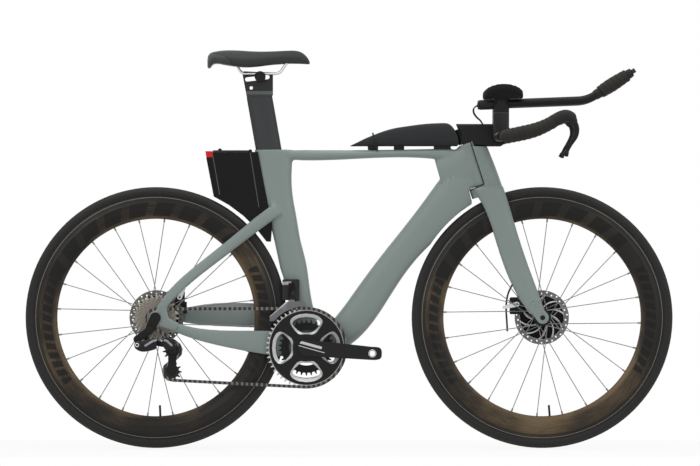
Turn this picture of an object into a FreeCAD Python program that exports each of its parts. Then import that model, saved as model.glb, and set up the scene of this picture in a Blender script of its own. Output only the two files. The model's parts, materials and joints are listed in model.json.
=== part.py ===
import FreeCAD, Part
import math
import os
import Sketcher
from types import SimpleNamespace

# A time trial bike: millimetres, +X forward, +Y to the rider's left, +Z up.
# The origin is on the ground, half way between the two axles.

V = FreeCAD.Vector
ALONG_X = V(1, 0, 0)
ALONG_Y = V(0, 1, 0)
ALONG_Z = V(0, 0, 1)

doc = FreeCAD.newDocument("TimeTrialBike")

sizes = {
    # wheels
    "wheel_base": 994.0,
    "wheel_radius": 336.0,
    "tyre_radius": 13.0,
    "tyre_wall": 2.4,
    "rim_bed_half": 9.0,
    "rim_half_width": 13.0,
    "rim_depth": 60.0,
    "spoke_radius": 1.1,
    "nipple_radius": 2.2,
    "nipple_length": 11.0,
    "valve_radius": 2.8,
    "valve_reach": 28.0,
    "axle_radius": 6.0,
    "axle_fit": 0.05,
    "axle_head_radius": 10.0,
    "axle_head_length": 4.0,
    "front_hub_width": 100.0,
    "rear_hub_width": 142.0,
    "hub_bore": 10.0,
    "hub_bearing_length": 8.0,
    "hub_shell_radius": 13.0,
    "hub_flange_radius": 22.0,
    "hub_flange_width": 4.0,
    "rotor_radius": 70.0,
    "rotor_track": 13.0,
    "rotor_thickness": 1.8,
    "rotor_seat_radius": 17.0,
    "rotor_inset": 15.5,
    # drive
    "chain_stay": 395.0,
    "bracket_drop": 77.2,
    "chain_pitch": 12.7,
    "roller_radius": 3.85,
    "pin_radius": 1.75,
    "pin_fit": 0.1,
    "inner_plate_gap": 2.4,
    "plate_thickness": 0.65,
    "plate_clearance": 0.35,
    "plate_radius": 3.9,
    "cog_thickness": 1.6,
    "cog_spacing": 3.74,
    "cog_line": 65.0,
    "freehub_radius": 16.4,
    "ring_thickness": 1.8,
    "ring_line": 47.0,
    "ring_spacing": 6.0,
    "ring_bolt_circle": 55.0,
    "ring_bolt_radius": 5.0,
    "crank_length": 170.0,
    "crank_angle": 4.8,
    "crank_thickness": 13.0,
    "crank_root_radius": 21.0,
    "crank_tip_radius": 17.0,
    "pedal_face": 73.0,
    "pedal_thread_radius": 7.15,
    "spindle_radius": 12.0,
    "spindle_fit": 0.05,
    "shell_width": 68.0,
    "shell_radius": 25.0,
    "bearing_cup_radius": 18.5,
    "bearing_cup_length": 11.0,
    "bearing_lip": 2.5,
    "running_gap": 0.3,
    # rear derailleur
    "hanger_thickness": 6.0,
    "hanger_back": 15.4,
    "hanger_drop": 32.4,
    "guide_forward": 43.6,
    "guide_drop": 83.6,
    "pulley_teeth_reach": 54.0,
    "pulley_thickness": 2.4,
    "cage_plate": 1.6,
    "cage_half_gap": 4.2,
    "link_width": 13.0,
    # frame
    "head_angle": 72.0,
    "fork_rake": 45.0,
    "head_nose_radius": 24.0,
    "nose_gap": 1.0,
    "head_bottom": 372.0,
    "head_top": 486.0,
    "steerer_radius": 12.0,
    "headset_radius": 18.0,
    "headset_length": 8.0,
    "headset_fit": 0.05,
    "tyre_clearance": 8.0,
    "dropout_thickness": 8.0,
    "dropout_radius": 17.0,
    "boss_radius": 2.5,
    "boss_spacing": 64.0,
    "boss_depth": 16.0,
    # seat
    "post_chord": 66.0,
    "post_thickness": 23.0,
    "post_fit": 0.15,
    "post_angle": 80.0,
    "post_insert": 90.0,
    "post_drop": 25.0,
    "rail_radius": 3.5,
    "rail_spacing": 44.0,
    "rail_height": 964.0,
    "saddle_rise": 59.0,
    "saddle_length": 263.0,
    "saddle_rear": 365.0,
    "saddle_width": 134.0,
    # cockpit
    "bar_half_width": 200.0,
    "bar_radius": 12.0,
    "tape_thickness": 4.2,
    "extension_radius": 11.1,
    "extension_half_gap": 58.0,
    "pad_thickness": 13.0,
    "cup_wall": 3.0,
    "cup_half_width": 45.0,
    "cup_outset": 27.0,
    "lever_thickness": 9.0,
    "lever_pin_radius": 2.5,
    "button_radius": 6.0,
    "button_travel": 1.5,
    "cable_radius": 2.4,
    # storage
    "box_half_width": 14.0,
    "box_wall": 2.0,
    "lid_thickness": 4.0,
    "bag_half_width": 21.0,
}

sheet = doc.addObject("Spreadsheet::Sheet", "Sizes")
for row, (alias, value) in enumerate(sizes.items(), 1):
    sheet.set("A%d" % row, alias)
    sheet.set("B%d" % row, str(value))
    sheet.setAlias("B%d" % row, alias)
doc.recompute()


class Size:
    # A length with the sheet formula that gives it.
    def __init__(self, value, formula):
        self.value = float(value)
        self.formula = formula

    def __float__(self):
        return self.value

    def joined(self, sign, other, value, swapped=False):
        texts = [self.formula, formula_of(other)]
        if swapped:
            texts.reverse()
        return Size(value, "(%s %s %s)" % (texts[0], sign, texts[1]))

    def __add__(self, other):
        return self.joined("+", other, self.value + float(other))

    __radd__ = __add__

    def __sub__(self, other):
        return self.joined("-", other, self.value - float(other))

    def __rsub__(self, other):
        return self.joined("-", other, float(other) - self.value, True)

    def __mul__(self, other):
        return self.joined("*", other, self.value * float(other))

    __rmul__ = __mul__

    def __truediv__(self, other):
        return self.joined("/", other, self.value / float(other))

    def __neg__(self):
        return Size(-self.value, "(-1 * %s)" % self.formula)


def formula_of(amount):
    return amount.formula if isinstance(amount, Size) else repr(float(amount))


d = SimpleNamespace(**{alias: Size(value, "Sizes." + alias) for alias, value in sizes.items()})
n = SimpleNamespace(**sizes)
nodes = {}


def bind(target, name, amount):
    # Tie a property to its sheet formula.
    if isinstance(amount, Size):
        target.setExpression(name, amount.formula)
    else:
        setattr(target, name, amount)


def laid_along(axis):
    return FreeCAD.Rotation(ALONG_Z, V(*axis))


def cylinder(name, radius, height, base, axis):
    item = doc.addObject("Part::Cylinder", name)
    bind(item, "Radius", radius)
    bind(item, "Height", height)
    item.Placement = FreeCAD.Placement(V(*base), laid_along(axis))
    return item


def torus(name, ring_radius, section_radius, centre):
    # A ring that rolls about the Y direction.
    item = doc.addObject("Part::Torus", name)
    bind(item, "Radius1", ring_radius)
    bind(item, "Radius2", section_radius)
    item.Placement = FreeCAD.Placement(V(*centre), laid_along(ALONG_Y))
    return item


def outline_sketch(body, name, points):
    # A closed polygon whose corners are held to their sheet formulas.
    plane = [f for f in body.Origin.OriginFeatures if f.Role == "XY_Plane"][0]
    sketch = body.newObject("Sketcher::SketchObject", name)
    sketch.AttachmentSupport = [(plane, "")]
    sketch.MapMode = "FlatFace"
    corners = [V(float(u), float(v), 0) for u, v in points]
    count = len(corners)
    for index in range(count):
        sketch.addGeometry(Part.LineSegment(corners[index], corners[(index + 1) % count]))
    for index in range(count):
        sketch.addConstraint(Sketcher.Constraint("Coincident", index, 2, (index + 1) % count, 1))
    for index, corner in enumerate(points):
        for kind, amount in zip(("DistanceX", "DistanceY"), corner):
            held = sketch.addConstraint(Sketcher.Constraint(kind, -1, 1, index, 1, float(amount)))
            if isinstance(amount, Size):
                sketch.setExpression("Constraints[%d]" % held, amount.formula)
    return sketch


def turned(name, profile, base, axis):
    # A piece turned on a lathe: corners are (place along the axis, radius).
    body = doc.addObject("PartDesign::Body", name)
    sketch = outline_sketch(body, name + "_profile", profile)
    turn = body.newObject("PartDesign::Revolution", name + "_turn")
    turn.Profile = sketch
    turn.ReferenceAxis = (sketch, ["H_Axis"])
    turn.Angle = 360.0
    body.Placement = FreeCAD.Placement(V(*base), FreeCAD.Rotation(ALONG_X, V(*axis)))
    return body


def feature(name, shape):
    item = doc.addObject("Part::Feature", name)
    item.Shape = shape
    return item


def cut(name, base, *tools):
    item = doc.addObject("Part::Cut", name)
    item.Base = base
    item.Tool = tools[0] if len(tools) == 1 else fuse(name + "_tools", *tools)
    return item


def fuse(name, *pieces):
    item = doc.addObject("Part::MultiFuse", name)
    item.Shapes = list(pieces)
    return item


def node(label, *pieces):
    # One named sub-part, of one piece or of several separate ones.
    item = pieces[0]
    if len(pieces) > 1:
        item = doc.addObject("Part::Compound", label)
        item.Links = list(pieces)
    item.Label = label
    nodes[label] = item
    return item


def shape_of(item):
    doc.recompute()
    return item.Shape


def oval(centre, along, across, length, width, fullness=0.62):
    # A rounded tube section of four even curves, fuller than an ellipse.
    long_half = V(*along).normalize() * (length / 2)
    wide_half = V(*across).normalize() * (width / 2)
    corners = [long_half, wide_half, -long_half, -wide_half]
    edges = []
    for here, there in zip(corners, corners[1:] + corners[:1]):
        curve = Part.BezierCurve()
        curve.setPoles([V(*centre) + pole for pole in (here, here + there * fullness,
                                                       there + here * fullness, there)])
        edges.append(curve.toShape())
    return Part.Wire(edges)


def loft(wires, ruled=False):
    return Part.makeLoft(wires, True, ruled)


def path_wire(points, bend):
    # Straight runs joined by tangent arcs of one radius.
    points = [V(*p) for p in points]
    edges = []
    start = points[0]
    for before, corner, after in zip(points, points[1:], points[2:]):
        into = (corner - before).normalize()
        out = (after - corner).normalize()
        turn = into.getAngle(out)
        reach = bend * math.tan(turn / 2)
        first = corner - into * reach
        last = corner + out * reach
        middle = (out - into).normalize()
        centre = corner + middle * (bend / math.cos(turn / 2))
        edges.append(Part.LineSegment(start, first).toShape())
        edges.append(Part.Arc(first, centre - middle * bend, last).toShape())
        start = last
    edges.append(Part.LineSegment(start, points[-1]).toShape())
    return Part.Wire(edges)


def tube(points, radius, bend):
    path = path_wire(points, bend)
    ends = [V(*points[0]), V(*points[1])]
    section = Part.Wire([Part.Circle(ends[0], ends[1] - ends[0], radius).toShape()])
    return path.makePipeShell([section], True, False)


def flat(point):
    return point.x, point.z


def side_plate(outline, near, far):
    # A solid with a side-view outline in X and Z, between two places across the bike.
    wire = Part.makePolygon([V(x, near, z) for x, z in outline + outline[:1]])
    return Part.Face(wire).extrude(V(0, far - near, 0))


def joined(*shapes):
    return shapes[0].fuse(list(shapes[1:])).removeSplitter()


def strap(first, first_radius, last, last_radius, near, far):
    # A flat bar with two round ends, seen from the side, between two places across the bike.
    gap = math.hypot(last[0] - first[0], last[1] - first[1])
    lean = math.atan2(last[1] - first[1], last[0] - first[0])
    spread = math.acos((first_radius - last_radius) / gap)

    def on(centre, radius, angle):
        return V(centre[0] + radius * math.cos(angle), near, centre[1] + radius * math.sin(angle))

    corners = [on(first, first_radius, lean + spread), on(first, first_radius, lean - spread)]
    corners += [on(last, last_radius, lean - spread), on(last, last_radius, lean + spread)]
    back = on(first, first_radius, lean + math.pi)
    front = on(last, last_radius, lean)
    wire = Part.Wire([
        Part.Arc(corners[0], back, corners[1]).toShape(),
        Part.LineSegment(corners[1], corners[2]).toShape(),
        Part.Arc(corners[2], front, corners[3]).toShape(),
        Part.LineSegment(corners[3], corners[0]).toShape(),
    ])
    return Part.Face(wire).extrude(V(0, far - near, 0))


def round_bar(radius, near, far, centre):
    # A plain cylinder across the bike.
    return Part.makeCylinder(radius, abs(far - near), V(centre[0], min(near, far), centre[1]), ALONG_Y)


# main places
axle_height = n.wheel_radius
rear_axle_at = V(-n.wheel_base / 2, 0, axle_height)
front_axle_at = V(n.wheel_base / 2, 0, axle_height)
bracket_run = math.sqrt(n.chain_stay ** 2 - n.bracket_drop ** 2)
bracket_at = rear_axle_at + V(bracket_run, 0, -n.bracket_drop)
rear_flat = (rear_axle_at.x, rear_axle_at.z)
bracket_flat = (bracket_at.x, bracket_at.z)
bed_radius = d.wheel_radius - d.tyre_radius
nose_radius = d.wheel_radius - 2 * d.tyre_radius - d.rim_depth + 4.0
cog_teeth = [11, 12, 13, 14, 15, 17, 19, 21, 23, 25, 28]
last_cog_line = d.cog_line - (len(cog_teeth) - 1) * d.cog_spacing
spokes_per_wheel = 24
flange_crossing = 58.0
cog_to_flange = 8.6


def spun(angle):
    # Direction in the wheel's plane, in degrees from straight down towards the front.
    return V(math.sin(math.radians(angle)), 0, -math.cos(math.radians(angle)))


def make_rim(prefix, centre, lean):
    top = bed_radius
    nose = nose_radius
    half = d.rim_half_width
    right = [(-d.rim_bed_half, top), (-d.rim_bed_half, top - 9.5), (-half, nose + 42),
             (-half * 0.97, nose + 26)]
    right += [(-half * 0.8, nose + 12), (-half * 0.5, nose + 3), (-half * 0.18, nose)]
    left = [(-u, v) for u, v in reversed(right)]
    hoop = turned(prefix + "_rim_hoop", right + left, centre, ALONG_Y)
    bed = torus(prefix + "_rim_bed", bed_radius, d.tyre_radius, centre)
    start = centre + spun(lean) * (float(nose_radius) - n.valve_reach)
    hole = cylinder(prefix + "_valve_hole", d.valve_radius + 0.2, d.rim_depth + d.valve_reach, start,
                    spun(lean))
    return node(prefix + "_rim", cut(prefix + "_rim_cut", hoop, bed, hole))


def make_tyre(prefix, centre, lean):
    outer = torus(prefix + "_tread", bed_radius, d.tyre_radius, centre)
    air = torus(prefix + "_air", bed_radius, d.tyre_radius - d.tyre_wall, centre)
    start = centre + spun(lean) * (float(nose_radius) - n.valve_reach)
    reach = bed_radius - d.tyre_radius + d.tyre_wall / 2 - nose_radius + d.valve_reach
    valve = cylinder(prefix + "_valve", d.valve_radius, reach, start, spun(lean))
    return node(prefix + "_tyre", fuse(prefix + "_tyre_whole", cut(prefix + "_casing", outer, air), valve))


def bearing(name, inner, outer, start, end, centre):
    return turned(name, [(start, inner), (start, outer), (end, outer), (end, inner)], centre, ALONG_Y)


def make_hub(prefix, centre, right_end, right_flange, left_flange, rotor_line, left_end):
    width = d.hub_flange_width
    lock = rotor_line + d.rotor_thickness / 2 + 3.0
    profile = [(right_end, d.hub_bore), (right_end, d.hub_shell_radius),
               (right_flange - width, d.hub_shell_radius)]
    profile += [(right_flange - width / 2, d.hub_flange_radius),
                (right_flange + width / 2, d.hub_flange_radius)]
    profile += [(right_flange + width * 2, d.hub_shell_radius),
                (left_flange - width * 2, d.hub_shell_radius)]
    profile += [(left_flange - width / 2, d.hub_flange_radius),
                (left_flange + width / 2, d.hub_flange_radius)]
    profile += [(left_flange + width, d.rotor_seat_radius), (lock, d.rotor_seat_radius)]
    profile += [(lock, d.hub_shell_radius), (left_end, d.hub_shell_radius), (left_end, d.hub_bore)]
    shell = turned(prefix + "_hub_shell", profile, centre, ALONG_Y)
    inner = d.axle_radius + d.axle_fit
    near = bearing(prefix + "_bearing_right", inner, d.hub_bore, right_end,
                   right_end + d.hub_bearing_length, centre)
    far = bearing(prefix + "_bearing_left", inner, d.hub_bore, left_end - d.hub_bearing_length, left_end,
                  centre)
    return node(prefix + "_hub", shell, near, far)


def make_rotor(prefix, centre, line):
    near = float(line) - n.rotor_thickness / 2
    far = near + n.rotor_thickness
    flat = (centre.x, centre.z)
    inner = n.rotor_radius - n.rotor_track
    collar = n.rotor_seat_radius + 6.0
    track = round_bar(n.rotor_radius, near, far, flat).cut(round_bar(inner, near, far, flat))
    shape = [round_bar(collar, near, far, flat)]
    arms = 6
    for arm in range(arms):
        start = centre + spun(360.0 * arm / arms) * (collar - 4)
        end = centre + spun(360.0 * arm / arms + 22.0) * (inner + 4)
        shape.append(strap((start.x, start.z), 4.5, (end.x, end.z), 3.5, near, far))
    holes = [round_bar(n.rotor_seat_radius, near, far, flat)]
    slots = 30
    for slot in range(slots):
        inward = n.rotor_track * (0.35 + 0.3 * (slot % 2))
        middle = centre + spun(360.0 * slot / slots) * (n.rotor_radius - inward)
        holes.append(round_bar(2.2, near, far, (middle.x, middle.z)))
    return node(prefix + "_rotor", feature(prefix + "_rotor_disc", joined(track, *shape).cut(holes)))


def make_spokes(prefix, centre, lean, right_flange, left_flange):
    spokes = []
    pitch = 360.0 / spokes_per_wheel
    for index in range(spokes_per_wheel):
        angle = lean + pitch * (index + 0.5)
        flange = float(left_flange) if index % 2 else float(right_flange)
        crossing = flange_crossing if (index // 2) % 2 else -flange_crossing
        start = centre + spun(angle + crossing) * (n.hub_flange_radius - 3) + V(0, flange, 0)
        end = centre + spun(angle) * (float(nose_radius) + 3)
        along = (end - start).normalize()
        wire = Part.makeCylinder(n.spoke_radius, (end - start).Length, start, along)
        head = Part.makeCylinder(n.nipple_radius, n.nipple_length, end - along * n.nipple_length, along)
        spokes.append(wire.fuse(head))
    hub = shape_of(nodes[prefix + "_hub"])
    rim = shape_of(nodes[prefix + "_rim"])
    tight = [spoke.cut([hub.Solids[0], rim]) for spoke in spokes]
    longest = [max(piece.Solids, key=lambda solid: solid.Volume) for piece in tight]
    return node(prefix + "_spokes", feature(prefix + "_spoke_set", Part.Compound(longest)))


def make_wheel(prefix, centre, lean, right_end, right_flange, left_flange, hub_width):
    rotor_line = hub_width / 2 - d.rotor_inset
    make_rim(prefix, centre, lean)
    make_tyre(prefix, centre, lean)
    make_hub(prefix, centre, right_end, right_flange, left_flange, rotor_line,
             hub_width / 2 - d.running_gap)
    make_rotor(prefix, centre, rotor_line)
    make_spokes(prefix, centre, lean, right_flange, left_flange)


front_half = d.front_hub_width / 2
rear_half = d.rear_hub_width / 2
rear_right_flange = cog_to_flange - last_cog_line
freehub_start = rear_right_flange - d.hub_flange_width * 1.5
make_wheel("front", front_axle_at, 4.4, d.running_gap - front_half, 17.0 - front_half,
           front_half - d.rotor_inset - 13.0, d.front_hub_width)
make_wheel("rear", rear_axle_at, 2.5, freehub_start, rear_right_flange,
           rear_half - d.rotor_inset - 13.0, d.rear_hub_width)


# drive train
def pitch_radius(teeth):
    return n.chain_pitch / (2 * math.sin(math.pi / teeth))


def toothed(teeth, thickness, line, centre, phase):
    # A sprocket with a roller seat at the phase angle.
    pitch = pitch_radius(teeth)
    shape = [(-4.2, 2.9), (0.0, 2.0), (3.0, 0.8)]
    flank = [(pitch + height, -half) for height, half in shape]
    flank += [(pitch + height, half) for height, half in reversed(shape)]
    corners = []
    for tooth in range(teeth):
        middle = phase + 2 * math.pi * (tooth + 0.5) / teeth
        for radius, half in flank:
            angle = middle + half / radius
            corners.append((centre[0] + radius * math.cos(angle), centre[1] + radius * math.sin(angle)))
    return side_plate(corners, line - thickness / 2, line + thickness / 2)


pulley_teeth = 11
big_ring_teeth = 50
small_ring_teeth = 34
cog_radius = pitch_radius(cog_teeth[0])
ring_radius = pitch_radius(big_ring_teeth)
pulley_radius = pitch_radius(pulley_teeth)
guide_flat = (rear_flat[0] + n.guide_forward, rear_flat[1] - n.guide_drop)
chain_link_pairs = 52


def tension_flat(angle):
    return (guide_flat[0] + n.pulley_teeth_reach * math.cos(angle),
            guide_flat[1] + n.pulley_teeth_reach * math.sin(angle))


def chain_spans(angle):
    # Tangent runs and arcs round cog, ring, tension pulley and guide pulley, in order of travel.
    stops = [(rear_flat, cog_radius, -1), (bracket_flat, ring_radius, -1)]
    stops += [(tension_flat(angle), pulley_radius, -1), (guide_flat, pulley_radius, 1)]
    runs = []
    for (here, radius, way), (there, next_radius, next_way) in zip(stops, stops[1:] + stops[:1]):
        gap = math.hypot(there[0] - here[0], there[1] - here[1])
        bearing_angle = math.atan2(there[1] - here[1], there[0] - here[0])
        heading = bearing_angle - math.asin((next_way * next_radius - way * radius) / gap)
        normal = (-math.sin(heading), math.cos(heading))
        leave = (here[0] - way * radius * normal[0], here[1] - way * radius * normal[1])
        meet = (there[0] - next_way * next_radius * normal[0],
                there[1] - next_way * next_radius * normal[1])
        runs.append((leave, meet, heading))
    spans = []
    for index, (centre, radius, way) in enumerate(stops):
        arrive = runs[index - 1][2]
        depart = runs[index][2]
        turn = (way * (depart - arrive)) % (2 * math.pi)
        start = math.atan2(runs[index - 1][1][1] - centre[1], runs[index - 1][1][0] - centre[0])
        spans.append(("arc", centre, radius, way, start, radius * turn))
        leave, meet, heading = runs[index]
        spans.append(("run", leave, heading, math.hypot(meet[0] - leave[0], meet[1] - leave[1])))
    return spans


def span_length(spans):
    return sum(span[-1] for span in spans)


def point_on(spans, place):
    place = place % span_length(spans)
    for index, span in enumerate(spans):
        if place <= span[-1] or index == len(spans) - 1:
            break
        place -= span[-1]
    if span[0] == "arc":
        angle = span[4] + span[3] * place / span[2]
        return (span[1][0] + span[2] * math.cos(angle),
                span[1][1] + span[2] * math.sin(angle)), index, place
    return (span[1][0] + place * math.cos(span[2]), span[1][1] + place * math.sin(span[2])), index, place


def roller_places(spans, count):
    # Places of the rollers, each one chain pitch from the one before in a straight line.
    places = [0.0]
    for link in range(count):
        here = point_on(spans, places[-1])[0]
        low = places[-1] + n.chain_pitch * 0.9
        high = places[-1] + n.chain_pitch * 1.2
        for halving in range(40):
            middle = (low + high) / 2
            there = point_on(spans, middle)[0]
            if math.hypot(there[0] - here[0], there[1] - here[1]) < n.chain_pitch:
                low = middle
            else:
                high = middle
        places.append(low)
    return places


def slack(angle):
    spans = chain_spans(angle)
    return roller_places(spans, 2 * chain_link_pairs)[-1] - span_length(spans)


def closing_angle():
    # The cage angle at which the chain closes on a whole number of links.
    low = math.radians(-150.0)
    high = math.radians(-20.0)
    low_slack = slack(low)
    for halving in range(40):
        middle = (low + high) / 2
        if (slack(middle) > 0) == (low_slack > 0):
            low = middle
        else:
            high = middle
    return low


cage_angle = closing_angle()
tension_at = tension_flat(cage_angle)
chain_route = chain_spans(cage_angle)
roller_stops = roller_places(chain_route, 2 * chain_link_pairs)[:-1]
rollers = [point_on(chain_route, place) for place in roller_stops]
COG_ARC, UPPER_RUN, RING_ARC, LOWER_RUN, TENSION_ARC, GUIDE_ARC = 0, 1, 2, 3, 4, 6


def seat_phase(arc):
    # Angle of the first roller that lies on an arc of the route.
    flat, index, place = [stop for stop in rollers if stop[1] == arc][0]
    centre = chain_route[arc][1]
    return math.atan2(flat[1] - centre[1], flat[0] - centre[0])


def roller_at(stop):
    flat, index, place = stop
    straight_end = 0.1
    share = (place / chain_route[index][-1] - straight_end) / (1 - 2 * straight_end)
    share = min(max(share, 0.0), 1.0)
    line = n.cog_line
    if index == RING_ARC:
        line = n.ring_line
    if index == UPPER_RUN:
        line = n.cog_line + (n.ring_line - n.cog_line) * share
    if index == LOWER_RUN:
        line = n.ring_line + (n.cog_line - n.ring_line) * share
    return V(flat[0], -line, flat[1])


def plate_pair(inside, ends):
    outside = inside + n.plate_thickness
    pair = [strap(ends[0], n.plate_radius, ends[1], n.plate_radius, side * inside, side * outside)
            for side in (-1, 1)]
    return pair, outside


def inner_link(ends):
    half = n.inner_plate_gap / 2
    pair, outside = plate_pair(half, ends)
    bushes = [round_bar(n.roller_radius, -half, half, end) for end in ends]
    bores = [round_bar(n.pin_radius + n.pin_fit, -outside, outside, end) for end in ends]
    return pair[0].fuse([pair[1]] + bushes).cut(bores)


def outer_link(ends):
    inside = n.inner_plate_gap / 2 + n.plate_thickness + n.plate_clearance
    pair, outside = plate_pair(inside, ends)
    pins = [round_bar(n.pin_radius, -outside, outside, end) for end in ends]
    return pair[0].fuse([pair[1]] + pins)


def make_chain():
    ends = [(0.0, 0.0), (n.chain_pitch, 0.0)]
    kinds = [outer_link(ends), inner_link(ends)]
    links = []
    for index, stop in enumerate(rollers):
        start = roller_at(stop)
        end = roller_at(rollers[(index + 1) % len(rollers)])
        ahead = (end - start).normalize()
        up = ahead.cross(ALONG_Y).normalize()
        side = up.cross(ahead)
        link = kinds[index % 2].copy()
        link.Placement = FreeCAD.Placement(FreeCAD.Matrix(
            ahead.x, side.x, up.x, start.x,
            ahead.y, side.y, up.y, start.y,
            ahead.z, side.z, up.z, start.z))
        links.append(link)
    return node("chain", feature("chain_links", Part.Compound(links)))


def make_cassette():
    pieces = []
    bore = round_bar(n.freehub_radius, -n.rear_hub_width / 2, 0, rear_flat)
    spacer_radius = n.freehub_radius + 0.8
    phase = seat_phase(COG_ARC)
    for place, teeth in enumerate(cog_teeth):
        line = -n.cog_line + place * n.cog_spacing
        pieces.append(toothed(teeth, n.cog_thickness, line, rear_flat, phase).cut(bore))
        if place:
            inboard = line - n.cog_thickness / 2
            outboard = line - n.cog_spacing + n.cog_thickness / 2
            pieces.append(round_bar(spacer_radius, outboard, inboard, rear_flat).cut(bore))
    lock_start = -n.cog_line - n.cog_thickness / 2
    lockring = round_bar(spacer_radius, lock_start - 2.2, lock_start, rear_flat).cut(bore)
    cogs = feature("cassette_cogs", Part.Compound(pieces + [lockring]))
    start = d.running_gap - rear_half
    end = freehub_start - d.running_gap
    driver = turned("freehub", [(start, d.hub_bore), (start, d.freehub_radius), (end, d.freehub_radius),
                                (end, d.hub_bore)], rear_axle_at, ALONG_Y)
    inner = d.axle_radius + d.axle_fit
    near = bearing("freehub_bearing_right", inner, d.hub_bore, start, start + d.hub_bearing_length,
                   rear_axle_at)
    far = bearing("freehub_bearing_left", inner, d.hub_bore, end - d.hub_bearing_length, end, rear_axle_at)
    return node("cassette", cogs, driver, near, far)


crank_lean = -math.radians(n.crank_angle)
pedal_flat = (bracket_flat[0] + n.crank_length * math.cos(crank_lean),
              bracket_flat[1] + n.crank_length * math.sin(crank_lean))
left_pedal_flat = (2 * bracket_flat[0] - pedal_flat[0], 2 * bracket_flat[1] - pedal_flat[1])
boss_face = n.shell_width / 2 + n.bearing_lip + n.running_gap
arm_inside = n.pedal_face - n.crank_thickness
spider_arms = 4
spider_lean = math.radians(45.0)
big_ring_near = n.ring_line + n.ring_thickness / 2
big_ring_far = n.ring_line - n.ring_thickness / 2
small_ring_line = n.ring_line - n.ring_spacing
small_ring_near = small_ring_line + n.ring_thickness / 2
small_ring_far = small_ring_line - n.ring_thickness / 2


def bolt_flat(arm, radius=n.ring_bolt_circle):
    angle = crank_lean + spider_lean + 2 * math.pi * arm / spider_arms
    return (bracket_flat[0] + radius * math.cos(angle), bracket_flat[1] + radius * math.sin(angle))


def ring_bolts(radius):
    return [round_bar(radius, -big_ring_near - 1.6, -small_ring_far + 1.6, bolt_flat(arm))
            for arm in range(spider_arms)]


def make_chainrings():
    big_inner = ring_radius - 24.0
    lug_radius = n.ring_bolt_radius + 4.5
    bolts = ring_bolts(n.ring_bolt_radius)
    big = toothed(big_ring_teeth, n.ring_thickness, -n.ring_line, bracket_flat, seat_phase(RING_ARC))
    big = big.cut(round_bar(big_inner, -big_ring_near, -big_ring_far, bracket_flat))
    lugs = [strap(bolt_flat(arm), lug_radius, bolt_flat(arm, big_inner + 4), lug_radius + 5, -big_ring_near,
                  -big_ring_far)
            for arm in range(spider_arms)]
    small = toothed(small_ring_teeth, n.ring_thickness, -small_ring_line, bracket_flat, 0.0)
    small = small.cut(round_bar(n.ring_bolt_circle - lug_radius, -small_ring_near, -small_ring_far,
                                bracket_flat))
    rings = [joined(big, *lugs).cut(bolts), small.cut(bolts)]
    return node("chainrings", feature("ring_pair", Part.Compound(rings + bolts)))


def make_cranks():
    spindle_end = n.pedal_face - 2.0
    arm = strap(bracket_flat, n.crank_root_radius, pedal_flat, n.crank_tip_radius, -n.pedal_face,
                -arm_inside)
    boss = round_bar(n.crank_root_radius, -n.pedal_face, -boss_face, bracket_flat)
    spindle = round_bar(n.spindle_radius, -boss_face, spindle_end, bracket_flat)
    spider = [strap(bracket_flat, n.crank_root_radius, bolt_flat(place), n.ring_bolt_radius + 4.5,
                    -big_ring_far, -small_ring_near) for place in range(spider_arms)]
    thread = round_bar(n.pedal_thread_radius, -n.pedal_face, -arm_inside, pedal_flat)
    right = joined(arm, boss, spindle, *spider).cut(ring_bolts(n.ring_bolt_radius) + [thread])
    node("crank_right", feature("right_crank", right))
    arm = strap(bracket_flat, n.crank_root_radius, left_pedal_flat, n.crank_tip_radius, arm_inside,
                n.pedal_face)
    boss = round_bar(n.crank_root_radius, boss_face, n.pedal_face, bracket_flat)
    thread = round_bar(n.pedal_thread_radius, arm_inside, n.pedal_face, left_pedal_flat)
    bore = round_bar(n.spindle_radius, boss_face, spindle_end, bracket_flat)
    node("crank_left", feature("left_crank", joined(arm, boss).cut([thread, bore])))


make_chain()
make_cassette()
make_chainrings()
make_cranks()


# rear derailleur
dropout_face = n.rear_hub_width / 2
hanger_face = dropout_face + n.dropout_thickness
hanger_out = hanger_face + n.hanger_thickness
hanger_flat = (rear_flat[0] - n.hanger_back, rear_flat[1] - n.hanger_drop)
link_base = V(rear_flat[0] - 24.0, -(hanger_out + 9.0), rear_flat[1] - 59.0)
link_tip = V(guide_flat[0] - 10.0, -(hanger_out + 9.0) - 18.5, guide_flat[1] + 13.0)
link_run = V(link_tip.x - link_base.x, 0, link_tip.z - link_base.z).normalize()
link_axis = V(-link_run.z, 0, link_run.x)
link_pin = 2.4
link_pin_fit = 0.06
link_thickness = 8.0
lug_thickness = 3.0
lug_radius = 6.0
cage_near = n.cog_line + n.cage_half_gap + n.cage_plate
cage_far = n.cog_line - n.cage_half_gap - n.cage_plate
pulley_pin = 2.5
pulley_fit = 0.05
knuckle_pin = 5.0


def clevis(at):
    # Two lugs with a pin between them, on the link's turning axis.
    half = n.link_width / 2 + n.running_gap
    pieces = [Part.makeCylinder(link_pin, 2 * (half + lug_thickness),
                                at - link_axis * (half + lug_thickness), link_axis)]
    pieces += [Part.makeCylinder(lug_radius, lug_thickness, at + link_axis * half, link_axis)]
    pieces += [Part.makeCylinder(lug_radius, lug_thickness, at - link_axis * (half + lug_thickness),
                                 link_axis)]
    return pieces


def lug_arms(at, toward, reach):
    # Short arms that carry the two lugs from a piece beside them.
    half = n.link_width / 2 + n.running_gap
    arms = []
    for start in (half, -half - lug_thickness):
        corner = at + link_axis * start
        across = toward.cross(link_axis).normalize() * lug_radius
        base = [corner - across, corner + across, corner + across + toward * reach,
                corner - across + toward * reach]
        arms.append(Part.Face(Part.makePolygon(base + base[:1])).extrude(link_axis * lug_thickness))
    return arms


def link_room(at):
    # Space that the end of the link turns in.
    half = n.link_width / 2 + n.running_gap
    return Part.makeCylinder(link_thickness / 2 + 2.0, 2 * half, at - link_axis * half, link_axis)


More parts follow.
